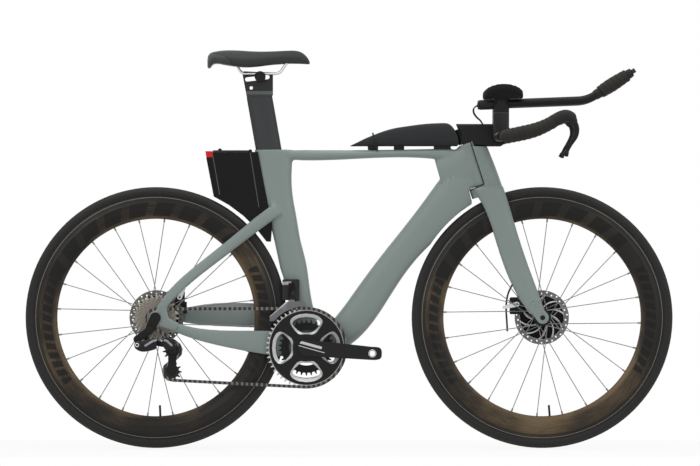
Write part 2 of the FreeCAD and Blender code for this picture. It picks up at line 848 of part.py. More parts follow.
def make_derailleur():
    back = link_run * -1
    boss = round_bar(11.0, -hanger_out, -hanger_out - 18.0, hanger_flat).cut(link_room(link_base))
    bolt = round_bar(4.0, -hanger_face, -hanger_out, hanger_flat)
    rear_block = link_base + back * 22.0
    case = strap(hanger_flat, 9.5, (rear_block.x, rear_block.z), 10.0, -hanger_out - 2.0,
                 -hanger_out - 16.0)
    case = case.cut(link_room(link_base))
    body = joined(boss, bolt, case, *clevis(link_base), *lug_arms(link_base, back, 10.0))
    node("rear_derailleur_body", feature("derailleur_body", body))
    span = link_tip - link_base
    lean = span.normalize()
    width = link_axis * n.link_width
    thick = lean.cross(link_axis).normalize() * link_thickness
    low = link_base - width / 2 - thick / 2
    far_tip = link_tip - width / 2 - thick / 2
    corners = [low, low + thick, far_tip + thick, far_tip]
    bar = Part.Face(Part.makePolygon(corners + corners[:1])).extrude(width)
    ends = [Part.makeCylinder(link_thickness / 2, n.link_width, at - width / 2, link_axis)
            for at in (link_base, link_tip)]
    bores = [Part.makeCylinder(link_pin + link_pin_fit, n.link_width, at - width / 2, link_axis)
             for at in (link_base, link_tip)]
    node("derailleur_link", feature("shift_link", joined(bar, *ends).cut(bores)))
    ahead = link_run
    hub = round_bar(9.5, -cage_near - n.running_gap, link_tip.y - 4.0, guide_flat)
    socket = round_bar(knuckle_pin + 0.05, -cage_near - n.running_gap, -cage_near - 14.0, guide_flat)
    hub = hub.cut(link_room(link_tip))
    knuckle = joined(hub, *clevis(link_tip), *lug_arms(link_tip, ahead, 9.0)).cut(socket)
    node("derailleur_knuckle", feature("shift_knuckle", knuckle))


def make_cage():
    plates = [strap(guide_flat, 11.0, tension_at, 10.0, -cage_near, -cage_near + n.cage_plate),
              strap(guide_flat, 9.0, tension_at, 10.0, -cage_far - n.cage_plate, -cage_far)]
    pins = [round_bar(pulley_pin, -cage_near, -cage_far, at) for at in (guide_flat, tension_at)]
    stub = round_bar(knuckle_pin, -cage_near, -cage_near - 12.0, guide_flat)
    node("derailleur_cage", feature("cage_plates", joined(plates[0], plates[1], stub, *pins)))
    for name, at, arc in (("guide_pulley", guide_flat, GUIDE_ARC),
                          ("tension_pulley", tension_at, TENSION_ARC)):
        wheel = toothed(pulley_teeth, n.pulley_thickness * 0.8, -n.cog_line, at, seat_phase(arc))
        hub = round_bar(7.0, -n.cog_line - n.cage_half_gap + 0.3, -n.cog_line + n.cage_half_gap - 0.3, at)
        bore = round_bar(pulley_pin + pulley_fit, -cage_near, -cage_far, at)
        node(name, feature(name + "_wheel", joined(wheel, hub).cut(bore)))


make_derailleur()
make_cage()


# front derailleur
cage_line_out = 57.0
cage_line_in = 42.5
cage_sheet = 1.2
swing_at = V(bracket_at.x - 38.0, -39.5, bracket_at.z + 161.0)
swing_half = 8.0
swing_pin = 2.0


def cage_outline():
    keep = ring_radius + 6.5
    arc = [(bracket_flat[0] + keep * math.cos(math.radians(a)),
            bracket_flat[1] + keep * math.sin(math.radians(a)))
           for a in (141, 131, 121, 111, 101, 93)]
    top = bracket_flat[1] + ring_radius + 17.5
    front = bracket_flat[0] - 1.0
    back = bracket_flat[0] - 94.0
    return arc + [(front, top - 7.0), (front - 4.0, top), (front - 45.0, top), (back, top - 13.0),
                  (back, top - 50.0)]


def make_front_derailleur():
    outline = cage_outline()
    sheets = [side_plate(outline, -cage_line_out - cage_sheet, -cage_line_out),
              side_plate(outline, -cage_line_in - cage_sheet, -cage_line_in)]
    spacer = round_bar(2.2, -cage_line_out, -cage_line_in, (outline[-1][0] + 6.0, outline[-1][1] + 5.0))
    top = outline[-4][1]
    bridge = Part.makeBox(22.0, cage_line_out - cage_line_in, 1.6,
                          V(outline[-4][0] - 30.0, -cage_line_out, top - 1.6))
    arm = Part.makeBox(2 * swing_half, cage_line_in - 37.0, swing_at.z + 5.0 - top + 9.0,
                       V(swing_at.x - swing_half, -cage_line_in, top - 9.0))
    pin_hole = Part.makeCylinder(swing_pin + 0.05, 4 * swing_half, swing_at - ALONG_X * 2 * swing_half,
                                 ALONG_X)
    node("front_derailleur_cage", feature("front_cage", joined(*sheets, spacer, bridge, arm).cut(pin_hole)))
    lugs = []
    for start in (swing_half + n.running_gap, -swing_half - n.running_gap - 4.0):
        lugs.append(Part.makeBox(4.0, 26.0, 12.0, V(swing_at.x + start, swing_at.y - 4.5,
                                                    swing_at.z - 6.0)))
    pin = Part.makeCylinder(swing_pin, 2 * swing_half + 8.6, swing_at - ALONG_X * (swing_half + 4.3),
                            ALONG_X)
    block_face = 32.5
    block = Part.makeBox(44.0, block_face - 18.0, 54.0,
                         V(swing_at.x - 24.0, -block_face, swing_at.z - 39.0))
    block = block.makeFillet(4.0, [edge for edge in block.Edges
                                   if edge.tangentAt(0).isEqual(ALONG_Y, 1e-6)])
    return joined(block, pin, *lugs)


front_derailleur_block = make_front_derailleur()


# frame
steer_lean = math.radians(n.head_angle)
steer_up = V(-math.cos(steer_lean), 0, math.sin(steer_lean))
steer_ahead = V(math.sin(steer_lean), 0, math.cos(steer_lean))
steer_foot = front_axle_at - steer_ahead * n.fork_rake


def on_steer(height, ahead=0.0):
    # A point in the bike's middle plane, measured along and ahead of the steering axis.
    return steer_foot + steer_up * height + steer_ahead * ahead


def steer_bar(radius, low, high):
    return Part.makeCylinder(radius, high - low, on_steer(low), steer_up)


def steer_block(rear, front, half_width, low, high):
    # A block square to the steering axis.
    corners = [on_steer(low, rear), on_steer(low, front), on_steer(high, front), on_steer(high, rear)]
    return side_plate([flat(corner) for corner in corners], -half_width, half_width)


def section(x, z, y, chord, width, along, fullness=0.62):
    return oval((x, y, z), (along[0], 0, along[1]), ALONG_Y, chord, width, fullness)


head_middle = (n.head_top + n.head_bottom) / 2
head_back = on_steer(head_middle, -94.0)
top_tube_height = n.head_top * math.sin(steer_lean) + steer_foot.z - 28.0
crown_radius = 32.0
crown_sweep = 38.0
crown_bottom = 345.0
wheel_room = n.wheel_radius + n.tyre_clearance
seat_top = top_tube_height + 12.0
post_up = V(-math.cos(math.radians(n.post_angle)), 0, math.sin(math.radians(n.post_angle)))
post_at = V(bracket_at.x - 97.3, 0, seat_top)
seat_rear = post_at.x - n.post_chord / 2 - 3.0
# height above the bracket, rear edge and front edge from the bracket, width
seat_cuts = [
    (seat_top - bracket_at.z, seat_rear - bracket_at.x, -38.0, 30.0),
    (447.0, seat_rear + 11.0 - bracket_at.x, -38.5, 31.0),
    (404.0, seat_rear + 19.0 - bracket_at.x, -37.0, 32.0),
    (341.0, -99.0, -27.0, 35.0),
    (277.0, -83.0, -16.0, 36.0),
    (199.0, -66.0, 2.0, 36.0),
    (104.0, -45.0, 17.0, 38.0),
    (41.0, -36.0, 34.0, 46.0),
    (2.0, -30.0, 30.0, 52.0),
]


def make_head_tube():
    block = loft([
        section(*flat(on_steer(head_middle)), 0, n.head_top - n.head_bottom, 2 * n.head_nose_radius - 2,
                (steer_up.x, steer_up.z), 0.85),
        section(head_back.x, head_back.z, 0, n.head_top - n.head_bottom - 30.0, 34.0, (-0.27, 0.96), 0.7),
    ], True)
    nose = steer_bar(n.head_nose_radius, n.head_bottom, n.head_top)
    bore = steer_bar(n.steerer_radius + 2.0, n.head_bottom, n.head_top)
    seats = [steer_bar(n.headset_radius, n.head_bottom, n.head_bottom + n.headset_length),
             steer_bar(n.headset_radius, n.head_top - n.headset_length, n.head_top)]
    above = steer_bar(90.0, n.head_top, n.head_top + 60.0)
    below = steer_bar(90.0, n.head_bottom - 60.0, n.head_bottom)
    return joined(block, nose).cut([bore, above, below] + seats)


def make_seat_tube():
    wires = []
    for height, rear, front, width in reversed(seat_cuts):
        wires.append(section(bracket_at.x + (rear + front) / 2, bracket_at.z + height, 0, front - rear,
                             width, (1, 0), 0.7))
    half = n.shell_width / 2
    shell = round_bar(n.shell_radius, -half, half, bracket_flat)
    return joined(loft(wires), shell)


def post_shape(chord, thickness, low, high):
    wires = []
    for place in (low, high):
        at = post_at + post_up * place
        wires.append(oval(at, (post_up.z, 0, -post_up.x), ALONG_Y, chord, thickness, 0.62))
    return loft(wires, True)


def make_stay(cuts, side):
    wires = []
    for x, z, y, height, width, lean in cuts:
        angle = math.radians(lean)
        along = (-math.sin(angle), math.cos(angle))
        wires.append(section(rear_flat[0] + x, rear_flat[1] + z, side * y, height, width, along, 0.64))
    return loft(wires)


def dropout(side, low):
    near = side * dropout_face
    far = side * (dropout_face + n.dropout_thickness)
    plate_shape = strap((rear_flat[0] + 45.0, rear_flat[1] + low), 13.0, rear_flat, n.dropout_radius, near,
                        far)
    return plate_shape


dropout_middle = dropout_face + n.dropout_thickness / 2
stay_end_width = n.dropout_thickness - 1.0
# from the rear axle: ahead, above, out, height, width, lean
right_chainstay = [(384.0, -73.0, 21.0, 56.0, 16.0, -3.0), (283.0, -64.0, 30.5, 60.0, 14.0, -6.0),
                   (190.0, -55.0, 44.0, 44.0, 13.0, -6.0), (97.0, -39.0, 63.0, 28.0, 12.0, -12.0),
                   (43.0, -19.5, dropout_middle, 22.0, stay_end_width, -20.0)]
left_chainstay = [(368.0, -9.0, 22.0, 60.0, 18.0, 0.0), (252.0, 5.0, 33.0, 62.0, 14.0, -3.0),
                  (110.0, 6.0, 57.0, 50.0, 12.0, 2.0),
                  (43.0, 3.5, dropout_middle, 22.0, stay_end_width, 3.0)]
seatstay = [(314.0, 280.0, 20.0, 36.0, 13.0, 38.0), (247.0, 230.0, 27.5, 31.0, 13.0, 38.0),
            (112.0, 124.0, 48.0, 26.0, 12.0, 39.0),
            (42.0, 60.0, dropout_middle - 1.5, 24.0, stay_end_width + 1.0, 44.0),
            (9.0, 12.0, dropout_middle, 22.0, stay_end_width, 48.0)]


def make_stays(seat_solid):
    axle_hole = round_bar(n.axle_radius, -hanger_out, hanger_out, rear_flat)
    room = round_bar(wheel_room, -n.tyre_radius - 4.0, n.tyre_radius + 4.0, rear_flat)
    lower = []
    for cuts, side, low in ((right_chainstay, -1, -20.0), (left_chainstay, 1, 4.0)):
        stay = joined(make_stay(cuts, side), dropout(side, low))
        lower.append(largest(stay.cut([seat_solid, axle_hole, room])))
    upper = []
    for side, beneath in ((-1, lower[0]), (1, lower[1])):
        upper.append(largest(make_stay(seatstay, side).cut([seat_solid, beneath, axle_hole, room])))
    return lower, upper


def largest(shape):
    return max(shape.Solids, key=lambda solid: solid.Volume)


def make_top_tube(head, seat_solid):
    high = top_tube_height
    wires = [section(head_back.x + 34.0, high - 2.0, 0, 34.0, 30.0, (0, 1)),
             section(head_back.x - 18.0, high + 1.0, 0, 25.0, 33.0, (0, 1)),
             section(20.0, high - 0.5, 0, 22.0, 32.0, (0, 1)),
             section(seat_rear + 60.0, high, 0, 23.0, 25.0, (0, 1))]
    return largest(loft(wires).cut([head, seat_solid]))


# upper end first: ahead of and above the bracket, depth, width, lean of the section
down_tube_cuts = [(414.0, 444.0, 100.0, 38.0, -20.0), (392.0, 408.0, 108.0, 45.0, -35.0),
                  (300.0, 305.0, 84.0, 44.0, -48.0), (215.0, 202.0, 79.0, 44.0, -50.5),
                  (100.0, 48.0, 80.0, 48.0, -55.0), (16.0, 2.0, 62.0, 56.0, -75.0)]


def make_down_tube(head, seat_solid):
    wires = []
    for x, z, depth, width, lean in down_tube_cuts:
        angle = math.radians(lean)
        wires.append(section(bracket_at.x + x, bracket_at.z + z, 0, depth, width,
                             (math.cos(angle), math.sin(angle)), 0.68))
    room = round_bar(wheel_room, -60.0, 60.0, flat(front_axle_at))
    turning = steer_bar(crown_sweep, n.head_bottom - 130.0, n.head_bottom + 0.5)
    blade_room = steer_block(-6.0, 90.0, 60.0, n.head_bottom - 1.0, n.head_top + 80.0)
    return largest(loft(wires).cut([head, seat_solid, room, turning, blade_room]))


def boss_hole(at, inward):
    return Part.makeCylinder(n.boss_radius, n.boss_depth + 12.0, at - inward * 12.0, inward)


tube_run = V(-0.596, 0, -0.803)
boss_in = V(0.803, 0, -0.596)
boss_middle = bracket_at + V(188.0, 0, 233.6)


def make_frame():
    head = make_head_tube()
    seat_solid = make_seat_tube()
    lower, upper = make_stays(seat_solid)
    top = make_top_tube(head, seat_solid)
    down = make_down_tube(head, seat_solid)
    holes = [boss_hole(boss_middle + tube_run * (side * n.boss_spacing / 2), boss_in) for side in (-1, 1)]
    half = n.shell_width / 2
    shell_bore = round_bar(n.bearing_cup_radius, -half, half, bracket_flat)
    socket = post_shape(n.post_chord + 2 * n.post_fit, n.post_thickness + 2 * n.post_fit,
                        -n.post_insert - n.post_drop - 6.0, 30.0)
    wedge = Part.makeBox(11.0, 15.0, 24.0, V(post_at.x + n.post_chord / 2 + 3.5, -7.5, seat_top - 24.0))
    room = round_bar(wheel_room, -60.0, 60.0, rear_flat)
    seat_open = largest(seat_solid.cut([shell_bore, socket, wedge, room]))
    node("head_tube", feature("head_tube_solid", head))
    node("top_tube", feature("top_tube_solid", top))
    node("down_tube", feature("down_tube_solid", largest(down.cut(holes + [shell_bore]))))
    node("seat_tube", feature("seat_tube_solid", seat_open))
    node("chainstays", feature("chainstay_pair", Part.Compound(lower)))
    node("seatstays", feature("seatstay_pair", Part.Compound(upper)))
    hanger = strap(rear_flat, 14.0, hanger_flat, 11.0, -hanger_face, -hanger_out)
    hanger = hanger.cut([round_bar(n.axle_radius, -hanger_face, -hanger_out, rear_flat),
                         round_bar(4.0, -hanger_face, -hanger_out, hanger_flat)])
    wedge = wedge.cut(seat_open).cut(socket)
    node("frame_hardware", feature("hanger_and_wedge", Part.Compound([hanger, largest(wedge)])))
    block = front_derailleur_block.cut(seat_open)
    node("front_derailleur_body", feature("front_changer", largest(block)))


def make_bearings():
    inner = d.spindle_radius + d.spindle_fit
    half = d.shell_width / 2
    cups = []
    for name, side in (("right", -1), ("left", 1)):
        profile = [(side * (half - d.bearing_cup_length), inner),
                   (side * (half - d.bearing_cup_length), d.bearing_cup_radius),
                   (side * half, d.bearing_cup_radius), (side * half, d.shell_radius - 2.0),
                   (side * (half + d.bearing_lip), d.shell_radius - 2.0),
                   (side * (half + d.bearing_lip), inner)]
        cups.append(turned("bracket_bearing_" + name, profile, bracket_at, ALONG_Y))
    inner = d.steerer_radius + d.headset_fit
    for name, low in (("lower", n.head_bottom), ("upper", n.head_top - n.headset_length)):
        profile = [(0.0, inner), (0.0, d.headset_radius), (d.headset_length, d.headset_radius),
                   (d.headset_length, inner)]
        cups.append(turned("headset_" + name, profile, on_steer(low), steer_up))
    node("frame_bearings", *cups)


def make_axle(label, centre, right, left):
    profile = [(right, 0.0), (right, d.axle_radius), (left, d.axle_radius), (left, d.axle_head_radius),
               (left + d.axle_head_length, d.axle_head_radius), (left + d.axle_head_length, 0.0)]
    node(label, turned(label + "_turned", profile, centre, ALONG_Y))


make_frame()
make_bearings()
fork_end_width = 10.0
make_axle("rear_axle", rear_axle_at, -(rear_half + d.dropout_thickness + d.hanger_thickness),
          rear_half + d.dropout_thickness)
make_axle("front_axle", front_axle_at, -(front_half + fork_end_width), front_half + fork_end_width)


# fork
front_flat = flat(front_axle_at)
blade_top = n.head_top + 4.0
# from the front axle: ahead, above, out, chord, width
leg_cuts = [(-140.0, 334.0, 24.5, 78.0, 24.0), (-104.0, 247.0, 31.0, 61.0, 19.0),
            (-81.0, 174.0, 36.0, 60.0, 17.0),
            (-41.0, 69.0, 48.0, 55.0, 15.0), (-14.0, 12.0, 56.0, 40.0, 9.0)]


def blade_section(height, front):
    rear = -3.0
    middle = on_steer(height, (front + rear) / 2)
    return oval(middle, steer_ahead, ALONG_Y, front - rear, 2 * n.head_nose_radius + 10.0, 0.75)


def make_fork():
    blade = loft([blade_section(crown_bottom + 3.0, 52.0), blade_section(head_middle, 49.0),
                  blade_section(blade_top, 43.0)])
    nose = steer_bar(n.head_nose_radius + n.nose_gap, n.head_bottom - n.nose_gap, blade_top + 40.0)
    crown = steer_bar(crown_radius, crown_bottom, n.head_bottom - n.nose_gap)
    pieces = [crown, blade.cut(nose)]
    for side in (-1, 1):
        wires = []
        for x, z, y, chord, width in leg_cuts:
            wires.append(section(front_flat[0] + x, front_flat[1] + z, side * y, chord, width, (1, 0.1),
                                 0.66))
        pieces.append(loft(wires))
        near = side * n.front_hub_width / 2
        far = side * (n.front_hub_width / 2 + fork_end_width)
        pieces.append(strap((front_flat[0] - 20.0, front_flat[1] + 26.0), 15.0, front_flat, 16.0, near,
                            far))
    above = Part.makeBox(220.0, 140.0, 120.0, V(on_steer(n.head_top).x - 20.0, -70.0, stem_low))
    tyre_room = round_bar(wheel_room, -n.tyre_radius - 5.0, n.tyre_radius + 5.0, front_flat)
    head_room = steer_bar(n.head_nose_radius + 60.0, n.head_bottom - n.nose_gap, blade_top)
    legs_low = [piece.cut(head_room) for piece in pieces[2:]]
    axle_hole = round_bar(n.axle_radius, -80.0, 80.0, front_flat)
    shape = joined(pieces[0], pieces[1].cut(above), *legs_low).cut([axle_hole, tyre_room])
    steerer = steer_bar(n.steerer_radius, crown_bottom + 10.0, n.head_top + 32.0)
    return largest(joined(largest(shape), steerer))


# cockpit
bar_at = V(on_steer(n.head_top).x + 88.0, 0, on_steer(n.head_top).z + 16.0)
stem_low = bar_at.z - 24.0
bar_chord = 46.0
bar_height = 24.0
grip_out = n.bar_half_width
horn_route = [(bar_at.x + 6.0, 130.0, bar_at.z), (bar_at.x + 6.0, grip_out, bar_at.z),
              (bar_at.x + 74.0, grip_out, bar_at.z + 15.0), (bar_at.x + 139.0, grip_out, bar_at.z + 43.0)]
horn_bend = 30.0


def mirrored(shape):
    return shape.mirror(V(0, 0, 0), ALONG_Y)


def make_base_bar():
    cuts = [(-165.0, 30.0), (-120.0, bar_chord - 2.0), (0.0, bar_chord), (120.0, bar_chord - 2.0),
            (165.0, 30.0)]
    wing = loft([oval((bar_at.x, y, bar_at.z), ALONG_X, ALONG_Z, chord, bar_height) for y, chord in cuts])
    horn = tube(horn_route, n.bar_radius, horn_bend)
    return joined(wing, horn, mirrored(horn))


stem_half = 21.0
stem_back = 13.0
stem_gap = 1.2


def make_stem(fork, bar):
    start = n.head_top + stem_gap
    rear = on_steer(start)
    upper_rear = on_steer(n.head_top + 52.0)
    high = bar_at.z + 34.0
    outline = [(upper_rear.x - stem_back, high), (rear.x + 66.0, high), (bar_at.x + 22.0, high - 10.0),
               (bar_at.x + 24.0, bar_at.z - 7.0), (bar_at.x - 2.0, stem_low), (rear.x + 22.0, stem_low),
               (rear.x - stem_back + 2.0, stem_low + 12.0)]
    body = side_plate(outline, -stem_half, stem_half)
    body = body.makeFillet(6.0, [edge for edge in body.Edges if abs(edge.tangentAt(0).y) < 0.5])
    column = steer_bar(22.0, start, n.head_top + 42.0)
    head_room = [steer_bar(n.head_nose_radius + n.nose_gap, n.head_top - 80.0, start),
                 steer_block(-120.0, 8.0, 60.0, n.head_top - 80.0, start)]
    return largest(joined(body, column).cut([fork, bar] + head_room))


tape_radius = n.bar_radius + n.tape_thickness
hood_start = bar_at.x + 132.0


def make_grips(bar, extensions):
    pieces = []
    run = V(horn_route[2][0] - horn_route[1][0], 0, horn_route[2][2] - horn_route[1][2]).normalize()
    start = V(*horn_route[1]) + run * (horn_bend + 2.0)
    last = V(*horn_route[3]) - V(*horn_route[2])
    end = V(*horn_route[2]) + last * 0.86
    grip = tube([start, horn_route[2], end], tape_radius, 60.0).cut(bar)
    pieces += [grip, mirrored(grip)]
    grip = Part.makeCylinder(n.extension_radius + n.tape_thickness, 80.0, grip_start,
                             extension_up).cut(extensions)
    pieces += [grip, mirrored(grip)]
    return pieces


extension_rear = V(bar_at.x - 60.0, n.extension_half_gap, bar_at.z + 83.0)
extension_bend = V(bar_at.x + 220.0, n.extension_half_gap, bar_at.z + 94.0)
extension_end = V(bar_at.x + 334.0, n.extension_half_gap, bar_at.z + 166.5)
extension_up = (extension_end - extension_bend).normalize()
grip_start = extension_bend + extension_up * 42.0
pod_radius = 12.6
pod_start = extension_end - extension_up * 10.0
pod_length = 17.0
button_out = 3.0


def make_extensions():
    bar = tube([extension_rear, extension_bend, extension_end], n.extension_radius, 90.0)
    return Part.Compound([bar, mirrored(bar)])


hood_middle = V(bar_at.x + 160.0, grip_out, bar_at.z + 46.0)
lever_at = V(bar_at.x + 174.0, grip_out, bar_at.z + 52.0)
lever_elbow = (lever_at.x + 17.0, lever_at.z - 38.0)
lever_tip = (lever_at.x - 13.0, lever_at.z - 102.0)


def make_housings(bar, grips):
    half = n.lever_thickness / 2 + 0.4
    hood = loft([oval((hood_start, grip_out, bar_at.z + 41.0), ALONG_Z, ALONG_Y, 35.0, 34.0),
                 oval(hood_middle, ALONG_Z, ALONG_Y, 39.0, 31.0),
                 oval((bar_at.x + 187.0, grip_out, bar_at.z + 45.0), ALONG_Z, ALONG_Y, 25.0, 23.0)])
    slot = Part.makeBox(60.0, 2 * half, 80.0, V(lever_at.x - 17.0, grip_out - half, lever_at.z - 70.0))
    pin = round_bar(n.lever_pin_radius, grip_out - 11.0, grip_out + 11.0, flat(lever_at))
    hood = largest(hood.cut([bar, slot] + grips[:1])).fuse(pin)
    pod = Part.makeCylinder(pod_radius, pod_length, pod_start, extension_up)
    rod = Part.makeCylinder(n.extension_radius, 40.0, extension_end - extension_up * 40.0, extension_up)
    well_depth = 5.0
    well_start = pod_start + extension_up * (pod_length - well_depth)
    well = Part.makeCylinder(n.button_radius + 0.06, well_depth, well_start, extension_up)
    pod = pod.cut([rod, well])
    button = Part.makeCylinder(n.button_radius, well_depth - n.button_travel - 0.4 + button_out,
                               well_start + extension_up * (n.button_travel + 0.4), extension_up)
    node("control_housings", feature("housings", Part.Compound([hood, mirrored(hood), pod, mirrored(pod)])))
    node("shift_button_left", feature("left_button", button))
    node("shift_button_right", feature("right_button", mirrored(button)))
    near = grip_out - n.lever_thickness / 2
    far = grip_out + n.lever_thickness / 2
    lever = joined(strap(flat(lever_at), 6.5, lever_elbow, 5.5, near, far),
                   strap(lever_elbow, 5.5, lever_tip, 4.0, near, far))
    lever = lever.cut(round_bar(n.lever_pin_radius + 0.05, near, far, flat(lever_at)))
    node("brake_lever_left", feature("left_lever", lever))
    node("brake_lever_right", feature("right_lever", mirrored(lever)))


cup_base = extension_rear.z + 16.0
cup_middle = V(bar_at.x + 4.0, n.extension_half_gap + n.cup_outset, cup_base)
cup_length = 99.0
cup_curve = 52.0


def make_risers(bar, extensions):
    half = 15.0
    seam = bar_at.z + 62.0
    low = Part.makeBox(41.0, 2 * half, seam - bar_at.z, V(bar_at.x - 22.0, n.extension_half_gap - half,
                                                          bar_at.z))
    high = Part.makeBox(41.0, 2 * half, cup_base + 5.0 - seam,
                        V(bar_at.x - 22.0, n.extension_half_gap - half, seam))
    upright = [edge for edge in low.Edges if abs(edge.tangentAt(0).z) > 0.5]
    low = largest(low.makeFillet(9.0, upright).cut(bar))
    upright = [edge for edge in high.Edges if abs(edge.tangentAt(0).z) > 0.5]
    cup_room = along_bike(cup_curve, cup_middle.y, cup_base + cup_curve)
    high = high.makeFillet(9.0, upright).cut([extensions, cup_room])
    return Part.Compound([low, high, mirrored(low), mirrored(high)])


def cup_prism(length, width):
    wire = oval(cup_middle - V(0, 0, 5.0), ALONG_X, ALONG_Y, length, width, 0.72)
    return Part.Face(wire).extrude(V(0, 0, 80.0))


def along_bike(radius, y, z):
    return Part.makeCylinder(radius, 2 * cup_length, V(cup_middle.x - cup_length, y, z), ALONG_X)


def make_cups():
    y = cup_middle.y
    centre = cup_base + cup_curve
    cup = along_bike(cup_curve, y, centre).cut(along_bike(cup_curve - n.cup_wall, y, centre))
    cup = largest(cup.common(cup_prism(cup_length, 2 * n.cup_half_width)).common(
        Part.makeBox(300.0, 300.0, cup_curve * 0.8, V(cup_middle.x - 150.0, y - 150.0, cup_base))))
    seat_radius = cup_curve - n.cup_wall - 0.3
    crown = cup_curve + 9.0
    low = centre - seat_radius
    pad = along_bike(seat_radius, y, centre).cut(along_bike(crown, y, low + n.pad_thickness + crown))
    pad = largest(pad.common(cup_prism(cup_length - 7.0, 2 * n.cup_half_width - 6.0)))
    node("arm_cups", feature("cups", Part.Compound([cup, mirrored(cup)])))
    node("arm_pads", feature("pads", Part.Compound([pad, mirrored(pad)])))


def cord_wire(points):
    # Straight runs joined by tangent arcs, each as large as its shorter run allows.
    points = [V(*p) for p in points]
    edges = []
    start = points[0]
    for before, corner, after in zip(points, points[1:], points[2:]):
        into = (corner - before).normalize()
        out = (after - corner).normalize()
        turn = into.getAngle(out)
        reach = 0.45 * min((corner - before).Length, (after - corner).Length)
        bend = reach / math.tan(turn / 2)
        middle = (out - into).normalize()
        centre = corner + middle * (bend / math.cos(turn / 2))
        edges.append(Part.LineSegment(start, corner - into * reach).toShape())
        edges.append(Part.Arc(corner - into * reach, centre - middle * bend,
                              corner + out * reach).toShape())
        start = corner + out * reach
    edges.append(Part.LineSegment(start, points[-1]).toShape())
    return Part.Wire(edges)


def cord(points, radius):
    path = cord_wire(points)
    first = V(*points[0])
    circle = Part.Wire([Part.Circle(first, V(*points[1]) - first, radius).toShape()])
    return path.makePipeShell([circle], True, False)


wire_radius = 1.6
shift_wire_route = [extension_rear + V(4.0, 0, 0), extension_rear + V(-10.0, -1.0, -4.0),
                    extension_rear + V(-13.0, -5.0, -18.0),
                    extension_rear + V(-4.0, -16.0, -32.0), extension_rear + V(8.0, -32.0, -41.0),
                    extension_rear + V(14.0, -40.0, -54.0)]
brake_cable_route = [front_axle_at + V(-64.0, 46.0, 102.0), front_axle_at + V(-82.0, 37.0, 76.0),
                     front_axle_at + V(-91.0, 27.0, 48.0), front_axle_at + V(-92.5, 24.6, 18.0),
                     front_axle_at + V(-90.0, 24.4, -12.0), front_axle_at + V(-89.0, 24.4, -36.0)]


def make_front_end():
    fork = make_fork()
    bar = make_base_bar()
    extensions = make_extensions()
    grips = make_grips(bar, extensions)
    stem = make_stem(fork, bar)
    risers = make_risers(bar, extensions)
    node("fork", feature("fork_solid", fork))
    node("base_bar", feature("bar_solid", bar))
    node("stem", feature("stem_solid", stem))
    node("extensions", feature("extension_pair", extensions))
    node("grip_tape", feature("tape_set", Part.Compound(grips)))
    node("riser_columns", feature("riser_set", risers))
    make_housings(bar, grips)
    make_cups()
    shift_wire = cord(shift_wire_route, wire_radius).cut([extensions, stem])
    brake_cable = cord(brake_cable_route, n.cable_radius).cut([fork, nodes["front_caliper"].Shape])
    wires = [largest(shift_wire), mirrored(largest(shift_wire)), largest(brake_cable)]
    node("front_cables", feature("cable_set", Part.Compound(wires)))


# brakes
caliper_width = 25.0
pad_gap = 1.6
arm_thickness = 2.6
arm_pin = 2.6


def make_caliper(prefix, middle, line, size, carrier, foot):
    # A block round the rotor's edge with a slot for the disc, and an arm on its inner side.
    near = line - caliper_width / 2
    length, height = size
    block = Part.makeBox(length, caliper_width, height, V(middle[0] - length / 2, near,
                                                          middle[1] - height / 2))
    block = block.makeFillet(4.0, [edge for edge in block.Edges if abs(edge.tangentAt(0).y) > 0.5])
    slot_half = n.rotor_thickness / 2 + pad_gap
    slot = Part.makeBox(length + 2, 2 * slot_half, height + 2,
                        V(middle[0] - length / 2 - 1, line - slot_half, middle[1] - height / 2 - 1))
    disc_room = round_bar(n.rotor_radius + 3.0, line - slot_half, line + slot_half, foot["wheel"])
    base = Part.makeBox(foot["length"], foot["out"] - line, foot["height"],
                        V(foot["at"][0], line + slot_half, foot["at"][1]))
    hinge = (middle[0] + foot["hinge"][0], middle[1] + foot["hinge"][1])
    pin = round_bar(arm_pin, near - arm_thickness - 0.8, near + 6.0, hinge)
    body = largest(joined(block.cut(slot.common(disc_room)), base).cut([carrier, disc_room]))
    node(prefix + "_caliper", feature(prefix + "_caliper_body", joined(body, pin)))
    tip = (hinge[0] + foot["tip"][0], hinge[1] + foot["tip"][1])
    arm = strap(hinge, 6.5, tip, 4.0, near - 0.3 - arm_thickness, near - 0.3)
    arm = arm.cut(round_bar(arm_pin + 0.05, near - 10.0, near, hinge))
    node(prefix + "_caliper_arm", feature(prefix + "_arm", arm))


def make_brakes():
    rear_line = n.rear_hub_width / 2 - n.rotor_inset
    foot = {"wheel": rear_flat, "at": (rear_flat[0] + 52.0, rear_flat[1] + 10.0), "length": 26.0,
            "height": 30.0,
            "out": dropout_face - 1.0, "hinge": (10.0, 2.0), "tip": (12.0, 25.0)}
    make_caliper("rear", (rear_flat[0] + 50.0, rear_flat[1] + 50.0), rear_line, (46.0, 36.0),
                 nodes["chainstays"].Shape.fuse(nodes["seatstays"].Shape), foot)
    front_line = n.front_hub_width / 2 - n.rotor_inset
    foot = {"wheel": front_flat, "at": (front_flat[0] - 66.0, front_flat[1] + 18.0), "length": 20.0,
            "height": 34.0,
            "out": n.front_hub_width / 2 + 2.0, "hinge": (2.0, 4.0), "tip": (-34.0, -8.0)}
    make_caliper("front", (front_flat[0] - 66.0, front_flat[1] + 30.0), front_line, (34.0, 44.0),
                 make_fork(), foot)


make_brakes()
make_front_end()


# seat
clamp_radius = 14.0
clamp_half = 31.0
rail_half = n.rail_spacing / 2
clamp_at = (post_at.x - 22.0, n.rail_height - 8.0)
saddle_top = n.rail_height + n.saddle_rise
head_depth = 58.0
post_shoulder = (n.rail_height - head_depth - seat_top) / post_up.z
saddle_back = -n.saddle_rear
